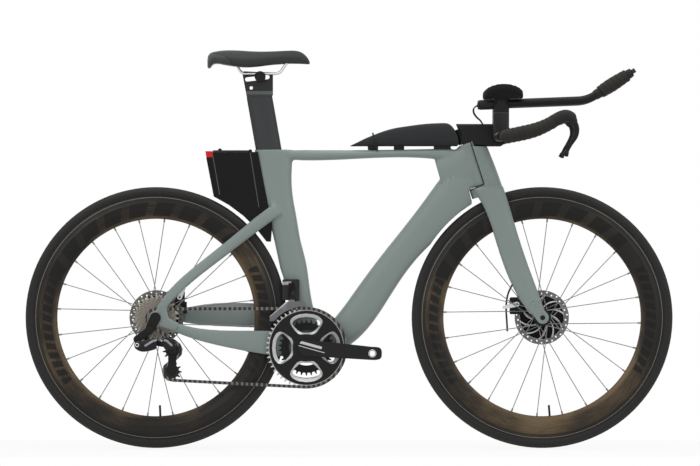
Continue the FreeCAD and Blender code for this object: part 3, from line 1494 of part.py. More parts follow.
# from the saddle's tail: along, share of the width, drop of the top, drop of the underside
saddle_cuts = [(3.0, 0.66, 13.0, 38.0), (28.0, 0.95, 2.0, 41.0), (72.0, 1.0, 0.0, 38.0),
               (122.0, 0.78, 2.0, 33.0),
               (172.0, 0.5, 2.0, 31.0), (222.0, 0.38, 1.0, 31.0), (n.saddle_length - 2.0, 0.26, 9.0, 28.0)]


def make_seatpost():
    post = post_shape(n.post_chord, n.post_thickness, -n.post_insert, post_shoulder)
    top = n.rail_height + 4.0
    head = [(post_at.x - 68.0, top - 3.0), (post_at.x - 64.0, top + 2.0), (post_at.x + 11.0, top - 2.0),
            (post_at.x + 11.0, top - 60.0), (post_at.x - 54.0, top - 78.0)]
    plate_shape = side_plate(head, -n.post_thickness / 2 + 2.0, n.post_thickness / 2 - 2.0)
    slot = strap((post_at.x - 55.5, top - 19.0), 5.5, (post_at.x - 3.0, top - 13.0), 5.5, -30.0, 30.0)
    hole = round_bar(4.5, -30.0, 30.0, (post_at.x - 45.0, top - 41.0))
    return joined(post, plate_shape).cut([slot, hole])


def rail_route(side):
    return [(clamp_at[0] - 62.0, side * rail_half, n.rail_height + 24.0),
            (clamp_at[0] - 48.0, side * rail_half, n.rail_height),
            (clamp_at[0] + 50.0, side * rail_half, n.rail_height),
            (clamp_at[0] + 72.0, side * rail_half, n.rail_height + 32.0)]


def saddle_wire(along, share, top_drop, low_drop, trim, rise, fullness):
    width = n.saddle_width * share - 2 * trim
    top = saddle_top - top_drop - rise
    low = saddle_top - low_drop
    return oval((saddle_back + along, 0, (top + low) / 2), ALONG_Y, ALONG_Z, width, top - low, fullness)


cover_gap = 0.3


def make_saddle():
    cover = loft([saddle_wire(along, share, top, low, 0.0, 0.0, 0.7)
                  for along, share, top, low in saddle_cuts])
    inner_cuts = saddle_cuts[1:-1]
    base = loft([saddle_wire(along, share, low - 9.0, low + 5.0, 7.0, 0.0, 0.8)
                 for along, share, top, low in inner_cuts])
    base = largest(base.cut(cover))
    base.translate(V(0, 0, -cover_gap))
    rails = []
    for side in (-1, 1):
        rail = tube(rail_route(side), n.rail_radius, 18.0)
        rails.append(largest(rail.cut([base, cover])))
    node("saddle_cover", feature("cover", cover))
    node("saddle_base", feature("base", base))
    node("saddle_rails", feature("rails", Part.Compound(rails)))


def make_seat():
    post = make_seatpost()
    node("seatpost", feature("post", post))
    make_saddle()
    tunnels = []
    for side in (-1, 1):
        start = V(clamp_at[0] - 60.0, side * rail_half, n.rail_height)
        tunnels.append(Part.makeCylinder(n.rail_radius + 0.08, 120.0, start, ALONG_X))
    clamp = round_bar(clamp_radius, -clamp_half, clamp_half, clamp_at).cut(tunnels + [post])
    node("saddle_clamp", feature("clamp", Part.Compound(clamp.Solids)))


make_seat()


# storage behind the seat tube, and on the top tube
box_top = seat_top - 6.0
box_back = seat_rear - 127.0
lid_back = box_back + 19.5
lid_front = seat_rear - 15.0
lid_gap = 0.3
hinge_radius = 2.0


def box_outline(margin):
    keep = wheel_room + 1.0 + margin
    arc = []
    for angle in (64.5, 57.0, 49.5, 42.0, 34.5):
        turn = math.radians(angle)
        arc.append((rear_flat[0] + keep * math.cos(turn), rear_flat[1] + keep * math.sin(turn)))
    return [(box_back + 19.0 + margin, box_top), (box_back + 19.0 + margin, box_top - 14.0),
            (box_back + 2.0 + margin, box_top - 14.0)] + arc


def make_storage():
    seat_solid = nodes["seat_tube"].Shape
    stays = nodes["seatstays"].Shape
    front_top = (seat_rear + 8.0, box_top)
    outer = box_outline(0.0) + [(rear_flat[0] + 296.0, rear_flat[1] + 195.0),
                                (seat_rear + 45.0, box_top - 190.0), front_top]
    inner = box_outline(n.box_wall)[:-1] + [(rear_flat[0] + 272.0, rear_flat[1] + 225.0),
                                            (seat_rear - n.box_wall, box_top)]
    inner = [(x, z + 4.0 if z == box_top else z) for x, z in inner]
    case = side_plate(outer, -n.box_half_width, n.box_half_width).cut([seat_solid, stays])
    hollow = side_plate(inner, -n.box_half_width + n.box_wall, n.box_half_width - n.box_wall)
    case = largest(case.cut(hollow))
    hinge_at = (lid_front + 4.0, box_top + 3.0)
    lug = 6.0
    half = n.box_half_width
    pin = round_bar(hinge_radius, -half, half, hinge_at)
    lugs = [Part.makeBox(8.0, lug, 6.0, V(lid_front, start, box_top)) for start in (-half, half - lug)]
    node("storage_box", feature("box_case", joined(case, pin, *lugs)))
    inside = half - lug - n.running_gap
    lid = Part.makeBox(lid_front - lid_back - 3.0, 2 * half, n.lid_thickness,
                       V(lid_back, -half, box_top + lid_gap))
    tongue = Part.makeBox(lid_front - lid_back + 3.0, 2 * inside, n.lid_thickness,
                          V(lid_back + 3.0, -inside, box_top + lid_gap))
    barrel = round_bar(3.6, -inside, inside, hinge_at)
    under = Part.makeBox(200.0, 60.0, 10.0, V(lid_back, -30.0, box_top + lid_gap - 10.0))
    knob = round_bar(5.0, -6.0, 6.0, (lid_back + 18.0, box_top + lid_gap + n.lid_thickness))
    hinge_hole = round_bar(hinge_radius + 0.05, -half, half, hinge_at)
    lid = joined(lid, tongue, barrel.cut(under), knob.cut(under)).cut(hinge_hole)
    node("storage_box_lid", feature("lid", largest(lid)))
    lens = [(box_back, box_top + 2.0), (box_back + 19.0, box_top + 2.0), (box_back + 19.0, box_top - 14.0),
            (box_back + 2.5, box_top - 14.0)]
    node("rear_light", feature("light", side_plate(lens, -half + 2.0, half - 2.0)))


def make_bag():
    top = nodes["top_tube"].Shape
    base = top_tube_height + 19.0
    outline = [(1.0, base), (1.0, base + 2.0), (57.0, base + 31.0), (115.0, base + 48.0),
               (167.0, base + 58.0),
               (216.0, base + 60.0), (262.0, base + 59.0), (283.0, base + 37.0), (283.0, base)]
    half = n.bag_half_width
    body = side_plate(outline, -half, half)
    long_edges = [edge for edge in body.Edges
                  if abs(edge.tangentAt(0).y) < 0.5 and edge.BoundBox.ZMax > base + 1.0]
    body = body.makeFillet(8.0, [edge for edge in long_edges
                                 if edge.BoundBox.XMax < 282.0 and edge.BoundBox.XMin > 1.5])
    feet = []
    for start, end in ((48.0, 75.0), (115.0, 142.0), (205.0, 240.0)):
        feet.append(Part.makeBox(end - start, 22.0, 20.0, V(start, -11.0, base - 18.0)))
    band = loft([section(x, top_tube_height, 0, 30.0, 40.0, (0, 1), 0.68) for x in (55.0, 71.0)], True)
    turning = steer_bar(math.hypot(stem_half, stem_back) + 2.0, n.head_top - 200.0, n.head_top + 90.0)
    head = nodes["head_tube"].Shape
    whole = joined(body, band, *feet).cut([top, turning, head])
    node("top_tube_bag", feature("bag", largest(whole)))


make_storage()
make_bag()

doc.recompute()
broken = [item.Name for item in doc.Objects if "Invalid" in item.State or "Error" in item.State]
if broken:
    raise RuntimeError("failed objects: " + ", ".join(broken))
os.makedirs("parts", exist_ok=True)
for label, item in nodes.items():
    if item.Shape.isNull() or not item.Shape.isValid():
        raise RuntimeError("bad shape: " + label)
for label, item in nodes.items():
    item.Shape.exportStep("parts/" + label + ".step")
print(len(nodes), "nodes written")
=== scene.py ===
import json
import math
import bmesh
import bpy
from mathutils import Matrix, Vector

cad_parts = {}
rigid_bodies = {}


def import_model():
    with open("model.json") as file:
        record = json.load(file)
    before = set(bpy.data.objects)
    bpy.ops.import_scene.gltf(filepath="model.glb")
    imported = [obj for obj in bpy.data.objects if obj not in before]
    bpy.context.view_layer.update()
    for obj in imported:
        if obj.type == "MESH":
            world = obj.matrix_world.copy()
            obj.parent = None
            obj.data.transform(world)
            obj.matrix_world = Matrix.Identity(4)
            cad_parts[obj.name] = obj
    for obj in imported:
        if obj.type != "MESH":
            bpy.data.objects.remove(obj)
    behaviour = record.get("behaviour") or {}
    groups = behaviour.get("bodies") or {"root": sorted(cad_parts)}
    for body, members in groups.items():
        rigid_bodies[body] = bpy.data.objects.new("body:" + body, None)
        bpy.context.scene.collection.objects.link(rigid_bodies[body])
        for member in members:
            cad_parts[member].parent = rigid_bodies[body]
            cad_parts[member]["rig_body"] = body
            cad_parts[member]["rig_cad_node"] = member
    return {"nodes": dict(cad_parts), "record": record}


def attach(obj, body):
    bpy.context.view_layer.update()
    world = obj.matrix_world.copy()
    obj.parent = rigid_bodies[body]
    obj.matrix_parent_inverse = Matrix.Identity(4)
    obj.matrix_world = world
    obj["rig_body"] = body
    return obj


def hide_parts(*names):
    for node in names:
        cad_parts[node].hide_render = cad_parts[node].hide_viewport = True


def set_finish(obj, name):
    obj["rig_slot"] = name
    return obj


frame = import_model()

scene = bpy.context.scene
nodes = frame["nodes"]
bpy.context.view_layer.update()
print("frame loaded,", len(nodes), "nodes")

# camera, far off and level, as the picture was taken
viewSet = {"away": 20.0, "acrossX": 0.0024, "height": 0.5536, "seenWidth": 1.8025}
bpy.ops.object.camera_add(location=(viewSet["acrossX"], -viewSet["away"], viewSet["height"]),
                          rotation=(math.radians(90), 0, 0))
camera = bpy.context.object
camera.data.lens = camera.data.sensor_width * viewSet["away"] / viewSet["seenWidth"]
scene.camera = camera


# shader maths: a socket that takes part in plain expressions
class Flow:
    def __init__(self, finish, socket):
        self.finish = finish
        self.socket = socket

    def maths(self, operation, *values):
        return self.finish.node("ShaderNodeMath", {"operation": operation}, *values)

    def __add__(self, other):
        return self.maths("ADD", self, other)

    def __radd__(self, other):
        return self.maths("ADD", other, self)

    def __sub__(self, other):
        return self.maths("SUBTRACT", self, other)

    def __rsub__(self, other):
        return self.maths("SUBTRACT", other, self)

    def __mul__(self, other):
        return self.maths("MULTIPLY", self, other)

    def __rmul__(self, other):
        return self.maths("MULTIPLY", other, self)

    def __truediv__(self, other):
        return self.maths("DIVIDE", self, other)

    def __gt__(self, other):
        return self.maths("GREATER_THAN", self, other)

    def __lt__(self, other):
        return self.maths("LESS_THAN", self, other)

    def root(self):
        return self.maths("SQRT", self)

    def wrapped(self):
        return self.maths("FRACT", self)

    def away(self):
        return self.maths("ABSOLUTE", self)

    def wave(self):
        return self.maths("SINE", self)

    def ripple(self):
        # a sine lifted to run from 0 to 1
        return self.wave() * 0.5 + 0.5

    def soft(self, low, high):
        # 0 below low, 1 above high, smooth between
        smooth = {"interpolation_type": "SMOOTHSTEP"}
        return self.finish.node("ShaderNodeMapRange", smooth, self, low, high, 0.0, 1.0)


# a material on its way: Principled with its fixed numbers on its own sockets
class Finish:
    def __init__(self, name, color, roughness, **fixed):
        self.material = bpy.data.materials.new(name)
        self.material.use_nodes = True
        self.tree = self.material.node_tree
        self.shader = self.tree.nodes["Principled BSDF"]
        self.shader.inputs["Base Color"].default_value = (*color, 1.0)
        self.shader.inputs["Roughness"].default_value = roughness
        for socketName, value in fixed.items():
            self.shader.inputs[socketName.replace("_", " ")].default_value = value
        self.place = self.node("ShaderNodeTexCoord", {}, pick="Object")

    def node(self, kind, settings, *values, pick=0, **named):
        made = self.tree.nodes.new(kind)
        for key, value in settings.items():
            setattr(made, key, value)
        links = list(enumerate(values)) + [(key.replace("_", " "), value) for key, value in named.items()]
        for key, value in links:
            if isinstance(value, Flow):
                self.tree.links.new(value.socket, made.inputs[key])
            else:
                made.inputs[key].default_value = value
        return Flow(self, made.outputs[pick])

    def axes(self):
        split = self.tree.nodes.new("ShaderNodeSeparateXYZ")
        self.tree.links.new(self.place.socket, split.inputs[0])
        return [Flow(self, out) for out in split.outputs]

    def stretched(self, scale):
        return self.node("ShaderNodeMapping", {}, self.place, Scale=scale)

    def noise(self, scale, detail, where=None):
        return self.node("ShaderNodeTexNoise", {}, Vector=where or self.place, Scale=scale, Detail=detail,
                         Roughness=0.55)

    def lines(self, across, detail):
        # fine marks along one measure only
        return self.node("ShaderNodeTexNoise", {"noise_dimensions": "1D"}, W=across, Scale=1.0, Detail=detail)

    def cells(self, scale, feature="F1"):
        return self.node("ShaderNodeTexVoronoi", {"feature": feature}, Vector=self.place, Scale=scale)

    def blend(self, factor, first, second):
        values = [(*c, 1.0) if isinstance(c, tuple) else c for c in (first, second)]
        mixed = self.tree.nodes.new("ShaderNodeMix")
        mixed.data_type = "RGBA"
        for key, value in ((0, factor), (6, values[0]), (7, values[1])):
            if isinstance(value, Flow):
                self.tree.links.new(value.socket, mixed.inputs[key])
            else:
                mixed.inputs[key].default_value = value
        return Flow(self, mixed.outputs[2])

    def speckled(self, broad, fine, dark, light):
        # broad clouds and fine grain between two shades
        cloud, grain = self.noise(broad, 4.0), self.noise(fine, 2.0)
        return self.blend(cloud * 0.6 + grain * 0.4, dark, light), cloud, grain

    def aboutAxle(self, middle):
        # distance from a wheel's axle, angle about it, and place across the bike
        x, y, z = self.axes()
        dx, dz = x - middle[0], z - middle[1]
        angle = self.node("ShaderNodeMath", {"operation": "ARCTAN2"}, dz, dx)
        return (dx * dx + dz * dz).root(), angle, y

    def lineMask(self, start, end, half):
        # 1 close to a straight line drawn on the side of the bike
        x, z = self.axes()[::2]
        length = math.dist(start, end)
        run = [(b - a) / length for a, b in zip(start, end)]
        along = (x - start[0]) * run[0] + (z - start[1]) * run[1]
        aside = (x - start[0]) * run[1] - (z - start[1]) * run[0]
        return (aside.away() < half) * (along > 0.0) * (along < length)

    def linesMask(self, lines):
        # the same for several lines, each with its own half width
        total = 0.0
        for start, end, half in lines:
            total = total + self.lineMask(start, end, half)
        return total

    def feed(self, **sockets):
        for socketName, value in sockets.items():
            self.tree.links.new(value.socket, self.shader.inputs[socketName.replace("_", " ")])
        return self

    def bump(self, height, depth):
        made = self.node("ShaderNodeBump", {}, Strength=1.0, Distance=depth, Height=height)
        return self.feed(Normal=made)


def shadesOf(color, spread):
    return tuple(c * (1 - spread) for c in color), tuple(min(1.0, c * (1 + spread)) for c in color)


# the lines from point to point, for a mask
def runs(points, half):
    return [(start, end, half) for start, end in zip(points, points[1:])]


# plain moulded or coated surface with speckle, fine bump and handling marks
def coatedFinish(name, color, roughness, speckle=900.0, depth=0.00006, spread=0.18, **fixed):
    f = Finish(name, color, roughness, **fixed)
    coat, cloud, grain = f.speckled(14.0, speckle, *shadesOf(color, spread))
    f.feed(Base_Color=coat)
    f.feed(Roughness=roughness - 0.08 + cloud * 0.12 + grain * 0.06)
    return f.bump(grain, depth)


# brushed metal: streaks along one direction
def brushedFinish(name, color, roughness, stretch=(400.0, 30.0, 30.0), spread=0.22, **fixed):
    f = Finish(name, color, roughness, **fixed)
    dark, light = shadesOf(color, spread)
    streak = f.noise(8.0, 4.0, f.stretched(stretch))
    smudge = f.noise(35.0, 4.0)
    f.feed(Base_Color=f.blend(streak * 0.7 + smudge * 0.3, dark, light))
    f.feed(Roughness=roughness - 0.1 + streak * 0.12 + smudge * 0.14)
    return f.bump(streak, 0.00004)


# satin frame paint with a fine flake; the fork's split line is left dark
splitLine = [(0.3125, 0.7870), (0.3478, 0.6782), (0.3112, 0.6632), (0.3160, 0.6335)]


def framePaintFinish(name, seam):
    color = (0.225, 0.272, 0.258)
    f = Finish(name, color, 0.42, Coat_Weight=0.12, Coat_Roughness=0.35, Specular_IOR_Level=0.4)
    dark, light = shadesOf(color, 0.07)
    flake = f.noise(2600.0, 1.0)
    cloud = f.noise(5.0, 3.0)
    paint = f.blend(flake * 0.6 + cloud * 0.4, dark, light)
    f.feed(Base_Color=f.blend(f.linesMask(runs(splitLine, seam)), paint, (0.008, 0.01, 0.01)))
    f.feed(Roughness=0.38 + cloud * 0.06 + flake * 0.05)
    return f.bump(flake, 0.00001)


# deep carbon rim: layered grain round the wheel, a painted warm sheen of reflected light, plain dark bars, a
# pale line beside the tyre
rimSet = {"line": (0.3088, 0.3099), "track": (0.3, 0.301), "bronze": (0.246, 0.272), "barLean": 1.2,
          "barShare": 0.68, "bars": [
              # inner and outer radius, middle and half of the sweep, bars to a full turn
              (0.262, 0.2975, 1.75, 1.02, 26.0), (0.268, 0.292, 3.28, 0.5, 72.0),
              (0.268, 0.292, -0.02, 0.5, 72.0)]}


def rimFinish(name, middle):
    f = Finish(name, (0.03, 0.024, 0.018), 0.36, Metallic=0.25, Coat_Weight=0.1, Coat_Roughness=0.2,
               Specular_IOR_Level=0.2)
    radius, angle, y = f.aboutAxle(middle)
    grain = f.noise(1.6, 4.0, f.node("ShaderNodeCombineXYZ", {}, angle * 6.0, radius * 420.0, y * 60.0))
    cloud = f.noise(3.2, 3.0)
    # painted sheen: warm reflected light painted into the colour, stronger towards the inner part of the rim
    inner = 1 - radius.soft(*rimSet["bronze"])
    paintedSheen = (cloud + grain * 0.3 + inner * 0.22).soft(0.62, 0.95)
    base = f.blend(grain, (0.007, 0.006, 0.0052), (0.022, 0.0175, 0.013))
    base = f.blend(paintedSheen * 0.85, base, (0.17, 0.118, 0.062))
    bars = 0.0
    for low, high, place, reach, count in rimSet["bars"]:
        turned = ((angle - place + math.pi) / (2 * math.pi)).wrapped() * (2 * math.pi) - math.pi
        inside = (radius > low) * (radius < high) * (turned.away() < reach)
        leaning = (turned + radius * rimSet["barLean"]) * (count / (2 * math.pi))
        bars = bars + inside * (leaning.wrapped() < rimSet["barShare"])
    base = f.blend(bars * 0.85, base, (0.004, 0.0038, 0.0036))
    track = radius.soft(*rimSet["track"])
    base = f.blend(track * 0.7, base, (0.01, 0.0095, 0.009))
    line = (radius > rimSet["line"][0]) * (radius < rimSet["line"][1])
    f.feed(Base_Color=f.blend(line * 0.75, base, (0.3, 0.29, 0.27)))
    f.feed(Roughness=0.28 + grain * 0.12 + track * 0.14)
    return f.bump(f.cells(700.0), 0.00002)


# tyre: smooth crown with fine cross ribs on the shoulders and moulded sidewall rings
def tyreFinish(name, middle):
    size = {"crown": (0.3265, 0.3275), "shoulder": (0.3225, 0.3235), "wall": (0.3205, 0.3225), "ribs": 520.0,
            "ribLean": 900.0, "rings": 3800.0}
    f = Finish(name, (0.03, 0.03, 0.029), 0.7, Specular_IOR_Level=0.2)
    radius, angle, y = f.aboutAxle(middle)
    crown = radius.soft(*size["crown"])
    ribs = (angle * size["ribs"] + y.away() * size["ribLean"]).ripple()
    shoulder = radius.soft(*size["shoulder"]) * (1 - crown)
    rings = (radius * size["rings"]).ripple() * (1 - radius.soft(*size["wall"]))
    rubber = f.noise(650.0, 3.0)
    dust = f.noise(24.0, 4.0)
    base = f.blend(rubber * 0.5 + dust * 0.5, (0.014, 0.0138, 0.0135), (0.03, 0.0295, 0.0285))
    f.feed(Base_Color=f.blend(crown * 0.35, base, (0.045, 0.044, 0.042)))
    f.feed(Roughness=0.56 + dust * 0.16 + crown * 0.06)
    return f.bump(shoulder * ribs * 0.7 + rings * 0.35 + rubber * 0.2, 0.0004)


# brake disc: bright turned track, dark carrier with bright swept fins
def rotorFinish(name, middle):
    size = {"track": (0.0565, 0.0571), "fins": 10.0, "sweep": 20.0, "finShare": 0.17}
    f = Finish(name, (0.5, 0.5, 0.5), 0.3, Metallic=0.95)
    radius, angle = f.aboutAxle(middle)[:2]
    lines = f.lines(radius * 3000.0, 3.0)
    smudge = f.noise(50.0, 4.0)
    track = radius.soft(*size["track"])
    fin = ((angle + radius * size["sweep"]) * (size["fins"] / (2 * math.pi))).wrapped() < size["finShare"]
    carrier = f.blend(fin, (0.006, 0.006, 0.0065), (0.42, 0.42, 0.43))
    steel = f.blend(lines * 0.6 + smudge * 0.4, (0.08, 0.08, 0.08), (0.2, 0.2, 0.2))
    f.feed(Base_Color=f.blend(track, carrier, steel))
    f.feed(Roughness=0.24 + lines * 0.12 + smudge * 0.1)
    return f.bump(lines + fin * 3.0, 0.0001)


# chainrings: the dark coat turns to bare bright metal beyond a radius, where teeth are cut
def toothedFinish(name, color, bare, middle, edge, roughness):
    f = Finish(name, color, roughness, Metallic=0.9)
    radius = f.aboutAxle(middle)[0]
    smudge = f.noise(60.0, 4.0)
    lines = f.lines(radius * 4000.0, 2.0)
    cut = radius.soft(edge, edge + 0.002)
    body = f.blend(smudge, *shadesOf(color, 0.3))
    tooth = f.blend(smudge, *shadesOf(bare, 0.2))
    f.feed(Base_Color=f.blend(cut, body, tooth))
    f.feed(Roughness=roughness - 0.08 + lines * 0.12 + smudge * 0.12)
    return f.bump(lines, 0.00003)


# woven cloth: two crossing threads
def clothFinish(name, color, thread, depth, roughness, **fixed):
    f = Finish(name, color, roughness, **fixed)
    x, y, z = f.axes()
    along = ((x + y * 0.35) * (2 * math.pi / thread)).ripple()
    across = ((z + y) * (2 * math.pi / thread)).ripple()
    weave = along * (1 - across) + across * (1 - along)
    worn = f.noise(30.0, 4.0)
    dark, light = shadesOf(color, 0.32)
    f.feed(Base_Color=f.blend(weave * 0.55 + worn * 0.45, dark, light))
    f.feed(Roughness=roughness - 0.1 + worn * 0.18)
    return f.bump(weave + worn * 0.3, depth)


# leather like skin with fine pores
def skinFinish(name, color, roughness, pores, depth, **fixed):
    f = Finish(name, color, roughness, **fixed)
    pore = f.cells(pores, feature="DISTANCE_TO_EDGE")
    fine = f.noise(pores * 2.2, 3.0)
    cloud = f.noise(12.0, 4.0)
    dark, light = shadesOf(color, 0.25)
    f.feed(Base_Color=f.blend(cloud * 0.55 + fine * 0.45, dark, light))
    f.feed(Roughness=roughness - 0.07 + cloud * 0.1 + fine * 0.06)
    return f.bump(pore.soft(0.0, 0.25) + fine * 0.35, depth)


# saddle skin with a smoother panel sewn into each rear side
def saddleFinish():
    panel = {"middle": (-0.352, 0.984), "reach": (0.050, 0.031), "edge": (0.985, 1.0), "seam": (0.012, 0.04)}
    f = Finish("saddleSkin", (0.03, 0.031, 0.032), 0.55, Specular_IOR_Level=0.3)
    x, z = f.axes()[::2]
    across = (x - panel["middle"][0]) / panel["reach"][0]
    above = (z - panel["middle"][1]) / panel["reach"][1]
    ring = (across * across + above * above).root()
    inside = 1 - ring.soft(*panel["edge"])
    seam = 1 - (ring - 1.0).away().soft(*panel["seam"])
    pore = f.cells(1000.0, feature="DISTANCE_TO_EDGE").soft(0.0, 0.25)
    fine = f.noise(2200.0, 3.0)
    cloud = f.noise(12.0, 4.0)
    skin = f.blend(cloud * 0.55 + fine * 0.45, (0.015, 0.016, 0.017), (0.027, 0.0285, 0.0295))
    skin = f.blend(inside * 0.5, skin, (0.04, 0.042, 0.043))
    f.feed(Base_Color=f.blend(seam * 0.85, skin, (0.009, 0.009, 0.009)))
    f.feed(Roughness=0.5 + cloud * 0.1 + fine * 0.06 - inside * 0.1)
    return f.bump(pore * (1 - inside * 0.6) + fine * 0.35 - seam * 6.0, 0.00012)


# seat post: bare black head, a painted highlight along the shoulder edge, charcoal below
def postFinish():
    band = {"low": 0.9075, "fade": 0.006, "high": 0.919}
    f = Finish("postCarbon", (0.04, 0.043, 0.045), 0.42, Specular_IOR_Level=0.35)
    z = f.axes()[2]
    body, cloud, grain = f.speckled(9.0, 900.0, (0.018, 0.0205, 0.0215), (0.033, 0.037, 0.039))
    # painted highlight: a pale band just below the head, where the shoulder's chamfer catches the light
    edge = (z - band["low"]).soft(0.0, band["fade"]) * (z < band["high"])
    body = f.blend(edge * 0.8, body, (0.12, 0.135, 0.132))
    f.feed(Base_Color=f.blend(z > band["high"], body, (0.006, 0.006, 0.0065)))
    f.feed(Roughness=0.36 + cloud * 0.12 + grain * 0.05)
    return f.bump(grain, 0.00003)


# storage box: gloss shell with two moulded side ribs, each also drawn as a pale line of painted highlight
def boxFinish():
    ribs = [((-0.3515, 0.757), (-0.333, 0.652), 0.0009), ((-0.2545, 0.7605), (-0.232, 0.62), 0.0009)]
    f = Finish("boxShell", (0.005, 0.005, 0.006), 0.24, Coat_Weight=0.04, Coat_Roughness=0.1,
               Specular_IOR_Level=0.12)
    shell, cloud, grain = f.speckled(20.0, 800.0, (0.003, 0.003, 0.0036), (0.007, 0.007, 0.0082))
    # the rib lines give a painted highlight in the colour and a groove in the bump
    ribAndHighlight = f.linesMask(ribs)
    f.feed(Base_Color=f.blend(ribAndHighlight * 0.6, shell, (0.2, 0.2, 0.2)))
    f.feed(Roughness=0.16 + cloud * 0.1 + grain * 0.05)
    return f.bump(grain + ribAndHighlight * 8.0, 0.00002)


# red lens of the rear light: rows of small prisms
def lensFinish():
    prisms = 2100.0
    f = Finish("redLens", (0.8, 0.006, 0.008), 0.2, Coat_Weight=0.15, Coat_Roughness=0.08,
               Specular_IOR_Level=0.25)
    across, above = [(axis * prisms).ripple() for axis in f.axes()[1:]]
    cells = across * above
    f.feed(Base_Color=f.blend(cells, (0.62, 0.003, 0.006), (0.92, 0.012, 0.016)))
    f.feed(Roughness=0.1 + cells * 0.15)
    return f.bump(cells, 0.0004)


# middles of both wheels and of the cranks, seen from the side
rearAxle, frontAxle, bracket = (-0.497, 0.336), (0.497, 0.336), (-0.1096, 0.2588)


# sprockets: bright tooth tips, shade between one sprocket and the next smaller one
def cogFinish():
    size = {"largest": 0.0597, "inside": -0.0253, "taper": 0.79, "shade": (0.0008, 0.0062), "teeth": 56.0}
    f = Finish("cogSteel", (0.4, 0.37, 0.31), 0.34, Metallic=0.85)
    radius, angle, y = f.aboutAxle(rearAxle)
    tip = (y - size["inside"]) * size["taper"] + size["largest"]
    shade = (tip - radius).soft(*size["shade"])
    teeth = (angle * size["teeth"]).ripple()
    smudge = f.noise(70.0, 4.0)
    bright = f.blend(smudge * 0.6 + teeth * 0.4, (0.3, 0.27, 0.22), (0.62, 0.57, 0.48))
    dots = ((radius * 1500.0).wave() * (angle * 38.0).wave()).soft(-0.35, 0.55)
    between = f.blend(dots, (0.03, 0.0275, 0.024), (0.36, 0.33, 0.275))
    f.feed(Base_Color=f.blend(shade * 0.85, bright, between))
    f.feed(Roughness=0.28 + smudge * 0.16)
    return f.bump(smudge, 0.00004)


# crank arm: gloss black with plain pale stripes on its outer face
def crankFinish():
    stripes = [((-0.1262, 0.2738), (-0.0700, 0.2585), 0.0034), ((-0.1320, 0.2655), (-0.0630, 0.2462), 0.001)]
    outerFace = -0.0715
    f = Finish("crankGloss", (0.006, 0.006, 0.0065), 0.22, Coat_Weight=0.08, Coat_Roughness=0.1,
               Specular_IOR_Level=0.2)
    y = f.axes()[1]
    shell, cloud, grain = f.speckled(16.0, 500.0, (0.004, 0.004, 0.0045), (0.009, 0.009, 0.0098))
    pale = f.linesMask(stripes) * (y < outerFace)
    f.feed(Base_Color=f.blend(pale, shell, (0.62, 0.63, 0.64)))
    f.feed(Roughness=0.18 + cloud * 0.1 + grain * 0.05)
    return f.bump(grain, 0.00001)


# riser columns: dark arch above a seam, charcoal below that grows lighter towards the front as a painted
# highlight
def riserFinish():
    size = {"seam": 0.862, "seamFade": (0.0006, 0.0014), "lit": 0.372, "litWidth": 0.035}
    f = Finish("riserCarbon", (0.012, 0.012, 0.013), 0.4, Specular_IOR_Level=0.22)
    x, z = f.axes()[::2]
    grain = f.noise(1100.0, 2.0)
    # painted highlight: the lower part grows lighter towards the front
    lit = (x - size["lit"]).soft(0.0, size["litWidth"])
    lower = f.blend(grain * 0.4 + lit * 0.6, (0.006, 0.006, 0.007), (0.034, 0.035, 0.037))
    seam = 1 - (z - size["seam"]).away().soft(*size["seamFade"])
    body = f.blend(z > size["seam"], lower, (0.005, 0.005, 0.0055))
    f.feed(Base_Color=f.blend(seam * 0.7, body, (0.1, 0.1, 0.105)))
    f.feed(Roughness=0.34 + grain * 0.12)
    return f.bump(grain - seam * 5.0, 0.00004)


dull = {"Specular_IOR_Level": 0.18}
finishes = {
    "frame_paint": framePaintFinish("framePaint", 0.0013),
    "black_metal": coatedFinish("blackAnodised", (0.012, 0.012, 0.013), 0.42, 1500.0, 0.00003, Metallic=0.3,
                                **dull),
    "steel": brushedFinish("brushedSteel", (0.42, 0.42, 0.42), 0.32, Metallic=1.0),
    "gloss_black": coatedFinish("glossBlack", (0.005, 0.005, 0.0055), 0.24, 500.0, 0.00001, 0.35,
                                Coat_Weight=0.08, Coat_Roughness=0.1, **dull),
    "red_lens": lensFinish(),
    "bag_cloth": clothFinish("bagCloth", (0.03, 0.032, 0.033), 0.0011, 0.0003, 0.7, **dull),
    "satin_black": coatedFinish("satinBlack", (0.008, 0.008, 0.009), 0.44, 1100.0, 0.00003, **dull),
    "silver_metal": brushedFinish("polishedAlloy", (0.62, 0.62, 0.63), 0.26, Metallic=1.0),
    "chain_steel": brushedFinish("chainSteel", (0.3, 0.285, 0.265), 0.34, stretch=(90.0, 200.0, 90.0),
                                 spread=0.35, Metallic=1.0),
    "pulley_plastic": coatedFinish("pulleyPlastic", (0.022, 0.022, 0.023), 0.5, **dull),
    "tape": skinFinish("gripTape", (0.035, 0.032, 0.0285), 0.76, 900.0, 0.0002, **dull),
    "rubber_black": skinFinish("mouldedRubber", (0.022, 0.022, 0.023), 0.6, 1300.0, 0.00015, **dull),
    "cup_plastic": coatedFinish("mattePlastic", (0.014, 0.014, 0.015), 0.55, 1400.0, 0.00005, **dull),
    "pad_foam": clothFinish("padCloth", (0.014, 0.014, 0.015), 0.0009, 0.00025, 0.92, **dull),
    "cable_black": coatedFinish("cableSleeve", (0.02, 0.02, 0.021), 0.45, **dull),
    "button_plastic": coatedFinish("buttonPlastic", (0.035, 0.035, 0.036), 0.5, **dull),
    "spoke_steel": brushedFinish("spokeSteel", (0.2, 0.2, 0.2), 0.35, stretch=(60.0, 60.0, 60.0),
                                 Metallic=0.9),
    "cog_steel": cogFinish(),
    "ring_metal": toothedFinish("ringMetal", (0.012, 0.012, 0.013), (0.5, 0.49, 0.47), bracket, 0.0944, 0.34),
    "saddle_cover": saddleFinish(),
}
